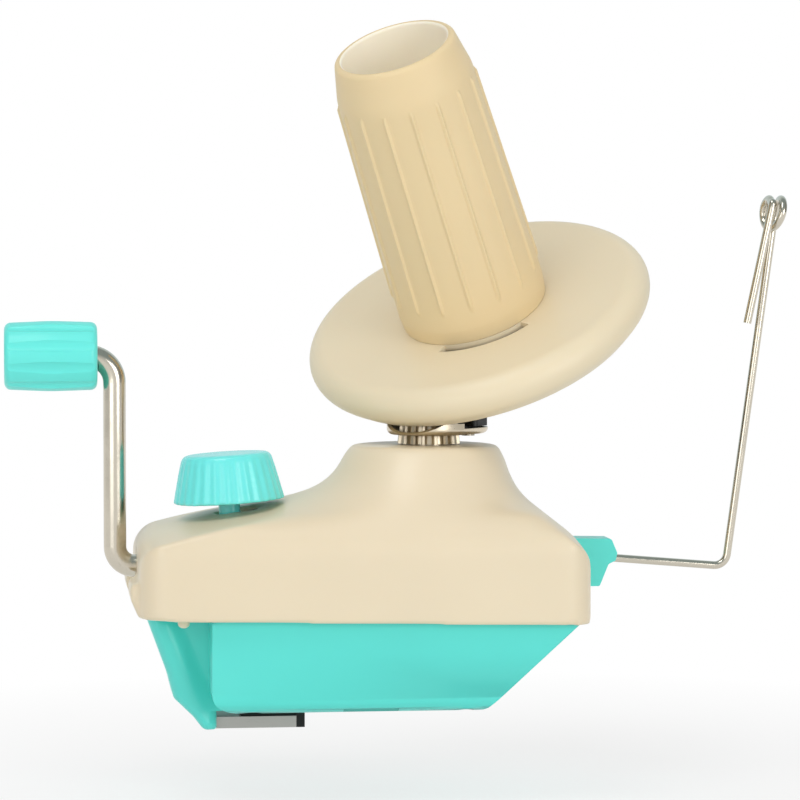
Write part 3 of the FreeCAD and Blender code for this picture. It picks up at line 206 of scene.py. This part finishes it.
def smooth(piece, angle=math.pi):
    """Smooth faces, with edges kept sharp past an angle."""
    mesh = piece.data
    mesh.polygons.foreach_set("use_smooth", [True] * len(mesh.polygons))
    if angle < math.pi:
        mesh.set_sharp_from_angle(angle=angle)


def soften(piece):
    """Smooth faces between sharp edges, with normals that follow the larger faces."""
    smooth(piece, math.radians(32))
    even = piece.modifiers.new("even_normals", "WEIGHTED_NORMAL")
    even.keep_sharp = True
    even.weight = 100


def show(piece, material, body, *replaced):
    """Give a modelled piece its material and body, in place of CAD nodes."""
    piece.data.materials.clear()
    piece.data.materials.append(material)
    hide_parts(*replaced)
    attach(piece, body)


def rise(value, low, high):
    """Smooth step from 0 to 1 between two values."""
    part = np.clip((value - low) / (high - low), 0, 1)
    return part * part * (3 - 2 * part)


# The hood's front is no flat panel but a rounded rib, which runs down from the skirt's left end to
# the foot: CREST_RUN is the crest's way in X and Z. Points on the front move forward by CREST_HIGH
# times the squared cosine of their distance in X from the crest, less under the skirt and outside the
# front wall, which CREST_Y bounds. Edges cut along and across the crest give the rib its points.
CREST_X = -0.0735
CREST_RUN = (-0.0125, 0.030)
CREST_HALF = 0.0073
CREST_HIGH = 0.0021
CREST_Y = (0.0140, 0.0190, 0.0220, 0.0260)
UNDER_SKIRT = (0.0270, 0.0320)
along_crest = [((CREST_X + offset, 0, 0), (CREST_RUN[1], 0, -CREST_RUN[0]))
               for offset in np.arange(-0.0070, 0.0071, 0.0010)]
across_crest = [((0, 0, height), (0, 0, 1)) for height in np.arange(0.0240, 0.0331, 0.0015)]
tub = cad_copy("lower_housing", "tub", along_crest + across_crest)

# The tub's left end stands upright beside the hood and rounds into the base: every point of the
# sloping end slides along X by the slope's run below the tub's rim, less the further right it is. The
# hood, which lies outside the end wall or hangs below the underside, isn't slid.
RIM_Z = 0.030
END_X = -0.0620
REST_X = -0.040
END_SLOPE = -0.0078 / RIM_Z
SLACK = 0.00004
UNDERSIDE = -0.0002
point = points_of(tub)
wall_x = END_X + END_SLOPE * point[:, 2]
from_crest = (point[:, 0] - CREST_X - CREST_RUN[0] / CREST_RUN[1] * point[:, 2]) / CREST_HALF
hump = np.cos(math.pi / 2 * np.clip(from_crest, -1, 1)) ** 2
hump *= rise(-point[:, 1], *CREST_Y[:2]) * (1 - rise(-point[:, 1], *CREST_Y[2:]))
hump *= (1 - rise(point[:, 2], *UNDER_SKIRT)) * (point[:, 0] < wall_x)
below = np.clip(RIM_Z - point[:, 2], 0.0, RIM_Z)
share = np.clip((REST_X - point[:, 0]) / (REST_X - END_X), 0.0, 1.0)
outside = (point[:, 0] < wall_x - SLACK) | (point[:, 2] < UNDERSIDE)
point[:, 1] -= CREST_HIGH * hump
point[:, 0] += np.where(outside, 0.0, END_SLOPE * below * share)
move_points(tub, point)
soften(tub)
show(tub, mint, "housing", "lower_housing")

# Strip let into the underside, of soft mint rubber that grips the table, in a darker mint that is the tub's
# mint as it looks in shade: painted shade. It is level with the underside, and its lower ends are drawn in
# to follow the tub's rounding.
shaded_mint_rubber = plastic("soft_rubber", srgb(78, 188, 178), corner_shade_colour=srgb(60, 120, 112),
                      grain=0.6, waviness=0.5, rough=0.6, gloss=0.3)
LOW_SIDE = 0.0004
DRAWN_IN = 0.90
PAD_FACE = -0.0001
pad = cad_copy("base_pad", "pad")
point = points_of(pad)
point[:, 1] *= np.where(point[:, 2] < LOW_SIDE, DRAWN_IN, 1.0)
point[:, 2] = np.maximum(point[:, 2], PAD_FACE)
move_points(pad, point)
soften(pad)
show(pad, shaded_mint_rubber, "housing", "base_pad")


# Upper moulding
# Cream plastic shell: skirt, sloping crowned deck and the tower that carries the gear. It drops over
# the tub's closing plate and is held by four screws from below.

cream = plastic("cream_housing", srgb(231, 216, 187), corner_shade_colour=srgb(190, 172, 138),
                grain=0.35, waviness=0.5, rough=0.34, glow=0.12)


def voxel_skin(piece, grain):
    """Replace a piece's mesh by an even skin of small squares."""
    remesh = piece.modifiers.new("even_skin", "REMESH")
    remesh.mode = "VOXEL"
    remesh.voxel_size = grain
    bpy.context.view_layer.update()
    made = piece.evaluated_get(bpy.context.evaluated_depsgraph_get())
    mesh = bpy.data.meshes.new_from_object(made)
    piece.modifiers.clear()
    piece.data = mesh


def ease(piece, point, share, rounds):
    """Points moved towards the mean of their neighbours by their share, a number of times."""
    edges = np.empty(2 * len(piece.data.edges), dtype=np.int64)
    piece.data.edges.foreach_get("vertices", edges)
    start, end = edges.reshape(-1, 2).T
    count = len(point)
    friends = np.bincount(start, minlength=count) + np.bincount(end, minlength=count)
    for _ in range(rounds):
        total = np.stack([np.bincount(start, axis[end], count) + np.bincount(end, axis[start], count)
                          for axis in point.T], 1)
        point = point + share[:, None] * (total / friends[:, None] - point)
    return point


# The shell's skin: the tower flows into the leaning walls and the deck without a crease. The flow is
# 1 round the tower's foot and fades out below it, above it and towards the clamp's knob.
SHELL_GRAIN = 0.00085
BELOW_FOOT = (0.053, 0.059)
ABOVE_FOOT = (0.0715, 0.0745)
KNOB_SIDE = (-0.062, -0.045)
shell = cad_copy("upper_housing", "shell")
voxel_skin(shell, SHELL_GRAIN)
point = points_of(shell)
point = ease(shell, point, np.full(len(point), 0.5), 3)
flow = rise(point[:, 2], *BELOW_FOOT) * (1 - rise(point[:, 2], *ABOVE_FOOT))
flow *= rise(point[:, 0], *KNOB_SIDE)
point = ease(shell, point, 0.5 * flow, 130)
lowest, highest = np.array(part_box("upper_housing"))
move_points(shell, np.clip(point, lowest + 1e-6, highest - 1e-6))
smooth(shell)
show(shell, cream, "housing", "upper_housing")


# Screws, shafts and bushes
# Plated screws hold the mouldings and the cone. The turned steel shafts, with fine drawing lines, run
# in bushes of sintered bronze, and the crank rod runs in plastic ones.

def metal_effect():
    """Drawing lines along the long axis, smudges in the gloss and small tarnished pits."""
    group, given, result = new_group(
        "drawn_metal",
        [("Lines", FLOAT, 0.5), ("Roughness", FLOAT, 0.2)],
        [("Height", FLOAT), ("Roughness", FLOAT), ("Tarnish", FLOAT)])
    place = add(group, "TexCoord").outputs["Object"]
    stretched = add(group, "Mapping", Vector=place)
    stretched.inputs["Scale"].default_value = (1.0, 1.0, 0.06)
    lines = add(group, "TexNoise", Vector=stretched.outputs[0], Scale=2200.0, Detail=4.0)
    pits = add(group, "TexNoise", Vector=place, Scale=700.0, Detail=4.0, Roughness=0.7)
    smudge = add(group, "TexNoise", Vector=place, Scale=110.0, Detail=4.0, Roughness=0.6)
    drawn = calc(group, "MULTIPLY", lines.outputs[0], given["Lines"])
    group.links.new(calc(group, "MULTIPLY", drawn, 0.000004), result["Height"])
    gloss = span(group, smudge.outputs[0], 0.35, 0.75, -0.04, 0.08)
    group.links.new(calc(group, "ADD", given["Roughness"], gloss), result["Roughness"])
    group.links.new(span(group, pits.outputs[0], 0.62, 0.80), result["Tarnish"])
    return group


metal_group = metal_effect()


def metal(name, colour, dull, lines, rough):
    """Bright or plain metal with a little tarnish."""
    material, tree, detail, shader = start_material(name, metal_group, Lines=lines, Roughness=rough)
    mix = add(tree, "MixRGB", Fac=detail.outputs["Tarnish"], Color1=colour, Color2=dull)
    tree.links.new(mix.outputs[0], shader.inputs["Base Color"])
    shader.inputs["Metallic"].default_value = 1.0
    return material


def finish(material, *names):
    """Give CAD nodes their material."""
    for name in names:
        mesh = nodes[name].data
        mesh.materials.clear()
        mesh.materials.append(material)


bright = metal("bright_steel", srgb(204, 197, 182), dull=srgb(160, 152, 138), lines=0.5, rough=0.16)
plain = metal("plain_steel", srgb(176, 168, 152), dull=srgb(120, 110, 96), lines=1.0, rough=0.32)
bronze = metal("bronze", (0.55, 0.38, 0.20, 1), dull=(0.30, 0.20, 0.10, 1), lines=0.6, rough=0.36)
gear_white = plastic("gear_plastic", srgb(226, 222, 210), corner_shade_colour=srgb(150, 130, 100),
                     grain=0.2, waviness=0.2, rough=0.35)
finish(bright, "main_shaft", "spindle")
finish(plain, "housing_screws", "cone_screws")
finish(bronze, "shaft_upper_bush", "shaft_lower_bush", "spindle_bush")
finish(gear_white, "crank_outer_bush", "crank_inner_bush")


# Crank
# A bent and plated steel rod, with a lobed mint grip that spins on its turned-down end and the
# large bevel gear at its inner end.

mint_grip = plastic("mint_grip", srgb(104, 234, 224), corner_shade_colour=srgb(50, 160, 150),
                    grain=0.15, waviness=0.4, rough=0.33, glow=0.08)
finish(bright, "crank_rod")
finish(mint_grip, "crank_grip", "grip_cap")
finish(gear_white, "crank_gear")
finish(plain, "crank_clip", "drive_pinion", "pinion_pin")


# Turning head
# Sun gear with long steel teeth, the pressed guard around it, the bent strap with its black block,
# and the washer and clips of the leaning spindle.

gear_steel = metal("gear_steel", srgb(196, 184, 162), dull=srgb(140, 126, 104), lines=1.0, rough=0.34)
guard_steel = metal("guard_steel", srgb(214, 202, 180), dull=srgb(160, 146, 122), lines=0.6, rough=0.30)
black = plastic("black_plastic", srgb(30, 30, 29), corner_shade_colour=srgb(70, 66, 60),
                grain=0.6, waviness=0.4, rough=0.42)
stamped = metal("stamped_steel", srgb(206, 200, 190), dull=srgb(150, 144, 134), lines=0.8, rough=0.28)
finish(gear_steel, "sun_gear")
finish(guard_steel, "gear_guard")
finish(black, "cradle_block")
finish(stamped, "cradle_strap")
finish(plain, "cradle_rivets", "spindle_washer", "spindle_clip")


# Flange
# A wide cream disc with a skirt that hides the ring gear. It is screwed to the cone's foot and has
# an arc slot on either side of it.

LEAN = math.radians(31.0)
HEADING = math.radians(51.0)
APEX_Z = 0.1683


def recolour(material, mask, colour):
    """Lay a colour over a material's own where a mask of its node tree is 1."""
    base = material.node_tree.nodes["Principled BSDF"].inputs["Base Color"]
    own = base.links[0].from_socket
    mixed = add(material.node_tree, "MixRGB", Fac=mask, Color1=own, Color2=colour)
    material.node_tree.links.new(mixed.outputs[0], base)


# Its dark brown second colour is painted shade deep in the slots and corners.
cream_flange = plastic("cream_flange", srgb(233, 219, 188), corner_shade_colour=srgb(70, 56, 38),
                       grain=0.5, waviness=0.4, rough=0.40, gloss=0.45, glow=0.12)
ring_plastic = plastic("ring_plastic", srgb(112, 99, 78), corner_shade_colour=srgb(60, 50, 38),
                       grain=0.3, waviness=0.3, rough=0.45)
finish(cream_flange, "flange_disc")
finish(ring_plastic, "ring_gear")

# Painted shade darkens the walls of the slots. The mask is 1 below the disc's top face and near the spindle:
# height is the place along the spindle from the apex, and away is the squared distance from the apex less
# the squared height.
SUNK = (-0.0546, -0.0562)
NEAR_SPINDLE = (0.0288 ** 2, 0.0280 ** 2)
tree = cream_flange.node_tree
spindle_way = (-math.sin(LEAN) * math.cos(HEADING), -math.sin(LEAN) * math.sin(HEADING), math.cos(LEAN))
from_apex = add(tree, "VectorMath", operation="SUBTRACT", i0=add(tree, "TexCoord").outputs["Object"],
                i1=(0.0, 0.0, APEX_Z)).outputs[0]
height = add(tree, "VectorMath", operation="DOT_PRODUCT", i0=from_apex, i1=spindle_way).outputs["Value"]
square = add(tree, "VectorMath", operation="DOT_PRODUCT", i0=from_apex, i1=from_apex).outputs["Value"]
away = calc(tree, "SUBTRACT", square, calc(tree, "MULTIPLY", height, height))
sunk = span(tree, height, *SUNK, to_high=0.85)
near = span(tree, away, *NEAR_SPINDLE)
recolour(cream_flange, calc(tree, "MULTIPLY", sunk, near), srgb(112, 92, 62))


# Winding cone
# The hollow yarn core, a yellower cream than the rest, with sixteen low ribs and a deep bowl in its
# top. It turns on the leaning spindle.

def on_spindle(point):
    """Points of the spindle's frame, Z up the spindle from the apex, in the part's frame."""
    x = point[:, 0] * math.cos(LEAN) - point[:, 2] * math.sin(LEAN)
    z = point[:, 0] * math.sin(LEAN) + point[:, 2] * math.cos(LEAN) + APEX_Z
    y = point[:, 1]
    return np.stack([x * math.cos(HEADING) - y * math.sin(HEADING),
                     x * math.sin(HEADING) + y * math.cos(HEADING), z], 1)


def rounded(corners, steps):
    """Outline from (radius, height, rounding) corners; each round is an arc between its tangents."""
    points = []
    place = np.array([corner[:2] for corner in corners], float)
    for i, (_, _, size) in enumerate(corners):
        if size <= 0:
            points.append(place[i:i + 1])
            continue
        back = place[i - 1] - place[i]
        ahead = place[i + 1] - place[i]
        back /= np.linalg.norm(back)
        ahead /= np.linalg.norm(ahead)
        half = math.acos(np.clip(back @ ahead, -1, 1)) / 2
        middle = (back + ahead) / np.linalg.norm(back + ahead) * size / math.sin(half)
        start = back * size / math.tan(half) - middle
        turn = np.linspace(0, 1, steps)[:, None]
        end = ahead * size / math.tan(half) - middle
        sweep = math.pi - 2 * half
        arc = (np.sin((1 - turn) * sweep) * start + np.sin(turn * sweep) * end) / math.sin(sweep)
        points.append(place[i] + middle + arc)
    return np.concatenate(points)


def spread_out(outline, gap):
    """Outline with its straight stretches divided into steps of about a gap."""
    parts = []
    for start, end in zip(outline[:-1], outline[1:]):
        count = max(1, round(float(np.linalg.norm(end - start)) / gap))
        parts.append(start + (end - start) * np.linspace(0, 1, count, endpoint=False)[:, None])
    return np.concatenate(parts + [outline[-1:]])


def turned_piece(name, radius, height, angle):
    """Closed skin from grids of radius, height and angle, whose first and last row lie on the axis."""
    rows, around = radius.shape
    ring = np.stack([radius * np.cos(angle), radius * np.sin(angle), height], 2)[1:-1].reshape(-1, 3)
    poles = np.array([[0, 0, height[0, 0]], [0, 0, height[-1, 0]]])
    point = on_spindle(np.concatenate([ring, poles]))
    row, step = np.meshgrid(np.arange(rows - 3), np.arange(around), indexing="ij")
    a = (row * around + step).ravel()
    b = (row * around + (step + 1) % around).ravel()
    quads = np.stack([a, b, b + around, a + around], 1)
    step = np.arange(around)
    last = (rows - 3) * around
    first_pole = len(ring)
    fan = np.stack([np.full(around, first_pole), (step + 1) % around, step], 1)
    end_fan = np.stack([np.full(around, first_pole + 1), last + step, last + (step + 1) % around], 1)
    mesh = bpy.data.meshes.new(name)
    mesh.from_pydata(point.tolist(), [], quads.tolist() + fan.tolist() + end_fan.tolist())
    mesh.update()
    piece = bpy.data.objects.new(name, mesh)
    bpy.context.scene.collection.objects.link(piece)
    shape = bmesh.new()
    shape.from_mesh(mesh)
    bmesh.ops.recalc_face_normals(shape, faces=shape.faces)
    shape.to_mesh(mesh)
    shape.free()
    smooth(piece, math.radians(40))
    return piece


# Radius over height and angle: the turned outline of the real core, raised where a rib runs by a
# cosine hump across the rib times a smooth rise at its two ends. The outline goes from the axis down
# the inside, round the foot, up the outside, over the lip and down the bowl to the axis.
FOOT_T = -0.0536
RIB_COUNT = 16
RIB_HALF = 0.00095
RIB_PROUD = 0.00072
RIB_PHASE = 0.455
RIB_ENDS = (-0.0425, 0.0262)
RIB_RISE = 0.0012
MEAN_RADIUS = 0.0228
core = rounded([(0.0, 0.007, 0), (0.0179, 0.007, 0.0015), (0.0186, 0.024, 0.0004), (0.0200, 0.024, 0.0004),
                (0.0218, -0.049, 0.004), (0.0215, FOOT_T, 0), (0.0234, FOOT_T, 0.0003),
                (0.0239, -0.0490, 0.007), (0.02165, 0.0274, 0.014), (0.0190, 0.0394, 0.0018),
                (0.0168, 0.0394, 0.0010), (0.0162, 0.0090, 0.0020), (0.0, 0.0090, 0)], 9)
core = spread_out(core, 0.0014)
rib_step = np.linspace(-1, 1, 13)
gap_step = np.linspace(0, 1, 10)[1:-1]
rib_turn = 2 * math.pi / RIB_COUNT
rib_width = RIB_HALF / MEAN_RADIUS
one_rib = np.concatenate([rib_step * rib_width, rib_width + gap_step * (rib_turn - 2 * rib_width)])
angle = (one_rib[None, :] + (np.arange(RIB_COUNT)[:, None] + RIB_PHASE) * rib_turn).ravel()
across = np.tile(np.concatenate([0.5 + 0.5 * np.cos(math.pi * rib_step), gap_step * 0]), RIB_COUNT)
outer_row = np.arange(len(core)) > np.argmin(core[:, 1])
outer_row &= (core[:, 0] > 0.0205) & (core[:, 1] < 0.030)
to_end = np.minimum(core[:, 1] - RIB_ENDS[0], RIB_ENDS[1] - core[:, 1])
along = np.where(outer_row, rise(to_end, 0, RIB_RISE), 0)
radius = core[:, :1] + RIB_PROUD * along[:, None] * across[None, :]
height = np.broadcast_to(core[:, 1:], radius.shape)
cone = turned_piece("core", radius, height, np.broadcast_to(angle[None, :], radius.shape))

cream_cone = plastic("cream_cone", srgb(233, 211, 167), corner_shade_colour=srgb(190, 165, 120),
                     grain=0.7, waviness=0.3, rough=0.48, gloss=0.4, glow=0.15)
show(cone, cream_cone, "cone", "winding_cone")

# Painted light: the bowl is coloured paler than the outside, to stand for light that reaches into it. The
# piece's own attribute is 1 on the rows past the lip.
lip_row = int(np.argmax(core[:, 1] + 0.00001 * np.arange(len(core))))
row_at = np.repeat(np.arange(1, len(core) - 1), len(angle))
bowl_painted_light = np.concatenate([row_at > lip_row + 2, [False, True]]).astype(float)
cone.data.attributes.new("bowl", "FLOAT", "POINT").data.foreach_set("value", bowl_painted_light)
bowl = add(cream_cone.node_tree, "Attribute", attribute_name="bowl").outputs["Fac"]
recolour(cream_cone, bowl, srgb(252, 244, 226))


# Clamp
# A screw with a fluted mint knob pulls the stamped steel bracket up against the table's underside.
# The bracket slides in the tub's hood, and a rubber cap on its foot grips the table.

mint_knob = plastic("mint_knob", srgb(112, 234, 230), corner_shade_colour=srgb(50, 160, 150),
                    grain=0.05, waviness=0.4, rough=0.22, gloss=0.6, glow=0.08)
bracket_steel = metal("bracket_steel", srgb(166, 167, 162), dull=srgb(120, 120, 114), lines=1.2, rough=0.34)
rubber = plastic("rubber", srgb(34, 33, 32), corner_shade_colour=srgb(80, 76, 70),
                 grain=1.0, waviness=0.5, rough=0.7, gloss=0.3)
finish(bright, "clamp_screw")
finish(plain, "screw_clip")
finish(bracket_steel, "clamp_bracket", "clamp_nut")
finish(rubber, "clamp_pad")

# The knob's skin has the flutes of the real moulding, with soft crests.
KNOB_GRAIN = 0.00045
knob = cad_copy("clamp_knob", "knob")
voxel_skin(knob, KNOB_GRAIN)
point = points_of(knob)
move_points(knob, ease(knob, point, np.full(len(point), 0.5), 9))
smooth(knob)
show(knob, mint_knob, "knob", "clamp_knob")


# Yarn guide
# A bent spring wire that ends in a double eye with a free tail. It swings in its moulded mint holder,
# which sits in the housing's right end wall.

finish(mint, "guide_holder")
finish(bright, "guide_wire")


# Floor and backdrop
# The floor is a wide pale plane, as low as the clamp's foot reaches when it is wound right down. It
# fades into the white backdrop past the shadow. Reflections see that backdrop too, darker towards the
# ceiling and the side walls and bluish behind.

CLAMP_TRAVEL = 0.0221
FLOOR_GAP = 0.0006
floor_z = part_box("clamp_bracket")[0][2] - CLAMP_TRAVEL - FLOOR_GAP
bpy.ops.mesh.primitive_plane_add(size=8.0, location=(0, 0, floor_z))
floor = bpy.context.object
floor.name = "floor"
paper = bpy.data.materials.new("paper")
paper.use_nodes = True
tree = paper.node_tree
shader = tree.nodes["Principled BSDF"]
shader.inputs["Base Color"].default_value = (0.90, 0.90, 0.90, 1)
shader.inputs["Roughness"].default_value = 0.9
shader.inputs["Specular IOR Level"].default_value = 0.1
reach = add(tree, "VectorMath", operation="LENGTH", i0=add(tree, "TexCoord").outputs["Object"])
far = span(tree, reach.outputs["Value"], 0.10, 0.30, 0.72)
ray = add(tree, "LightPath").outputs
mirrored = calc(tree, "MAXIMUM", ray["Is Glossy Ray"], ray["Is Transmission Ray"])
seen = calc(tree, "MAXIMUM", ray["Is Camera Ray"], mirrored)
glow = add(tree, "Emission", Color=(1, 1, 1, 1), Strength=1.0)
mixed = add(tree, "MixShader", Fac=calc(tree, "MULTIPLY", far, seen))
tree.links.new(shader.outputs[0], mixed.inputs[1])
tree.links.new(glow.outputs[0], mixed.inputs[2])
tree.links.new(mixed.outputs[0], tree.nodes["Material Output"].inputs["Surface"])
floor.data.materials.append(paper)

# The world lights evenly from all sides, is white to the camera and a shaded room to reflections.
world = bpy.data.worlds.new("studio")
bpy.context.scene.world = world
world.use_nodes = True
tree = world.node_tree
ambient = tree.nodes["Background"]
ambient.inputs["Color"].default_value = (1, 1, 1, 1)
ambient.inputs["Strength"].default_value = 0.55
white = add(tree, "Background", Color=(1, 1, 1, 1), Strength=1.0)
way = add(tree, "SeparateXYZ", Vector=add(tree, "TexCoord").outputs["Generated"]).outputs
ceiling = add(tree, "MixRGB", Fac=span(tree, way["Z"], 0.05, 0.6), Color1=(1, 1, 1, 1),
              Color2=(0.36, 0.44, 0.46, 1))
walls = add(tree, "MixRGB", Fac=span(tree, calc(tree, "ABSOLUTE", way["X"]), 0.55, 0.92),
            Color1=ceiling.outputs[0], Color2=(0.30, 0.30, 0.28, 1))
behind = add(tree, "MixRGB", Fac=span(tree, way["Y"], 0.25, 0.7), Color1=walls.outputs[0],
             Color2=(0.82, 0.95, 1.0, 1))
room = add(tree, "Background", Color=behind.outputs[0], Strength=0.9)
ray = add(tree, "LightPath").outputs
inner = add(tree, "MixShader", Fac=calc(tree, "MAXIMUM", ray["Is Glossy Ray"], ray["Is Transmission Ray"]))
tree.links.new(ambient.outputs[0], inner.inputs[1])
tree.links.new(room.outputs[0], inner.inputs[2])
outer = add(tree, "MixShader", Fac=ray["Is Camera Ray"])
tree.links.new(inner.outputs[0], outer.inputs[1])
tree.links.new(white.outputs[0], outer.inputs[2])
tree.links.new(outer.outputs[0], tree.nodes["World Output"].inputs["Surface"])


# Lights
# A large soft key from the right front, a fill from the left front and a top light that looks into
# the cone's bowl.

def soft_light(name, place, target, width, power):
    """Square area light aimed at a point."""
    lamp = bpy.data.lights.new(name, "AREA")
    lamp.size = width
    lamp.energy = power
    holder = bpy.data.objects.new(name, lamp)
    bpy.context.collection.objects.link(holder)
    holder.location = place
    holder.rotation_euler = (Vector(target) - Vector(place)).to_track_quat("-Z", "Y").to_euler()


soft_light("key", (0.70, -1.10, 0.34), (0, 0, 0.09), 0.6, 4.4)
soft_light("fill", (-0.75, -1.10, 0.18), (0, 0, 0.10), 0.8, 3.2)
soft_light("top", (-0.42, -0.50, 1.20), (0, 0, 0.10), 0.6, 4.1)


# Camera
# A long lens that stands 6.5 degrees round to the left of the front and slightly above the winder's
# middle.

camera = bpy.data.objects.new("camera", bpy.data.cameras.new("camera"))
bpy.context.collection.objects.link(camera)
camera.data.lens = 144.0
camera.data.sensor_width = 36.0
camera.location = (-0.1221, -0.9926, 0.1338)
aim = Vector((-0.0089, 0.0010, 0.0933))
camera.rotation_euler = (aim - camera.location).to_track_quat("-Z", "Y").to_euler()
bpy.context.scene.camera = camera
bpy.context.scene.view_settings.view_transform = "Standard"
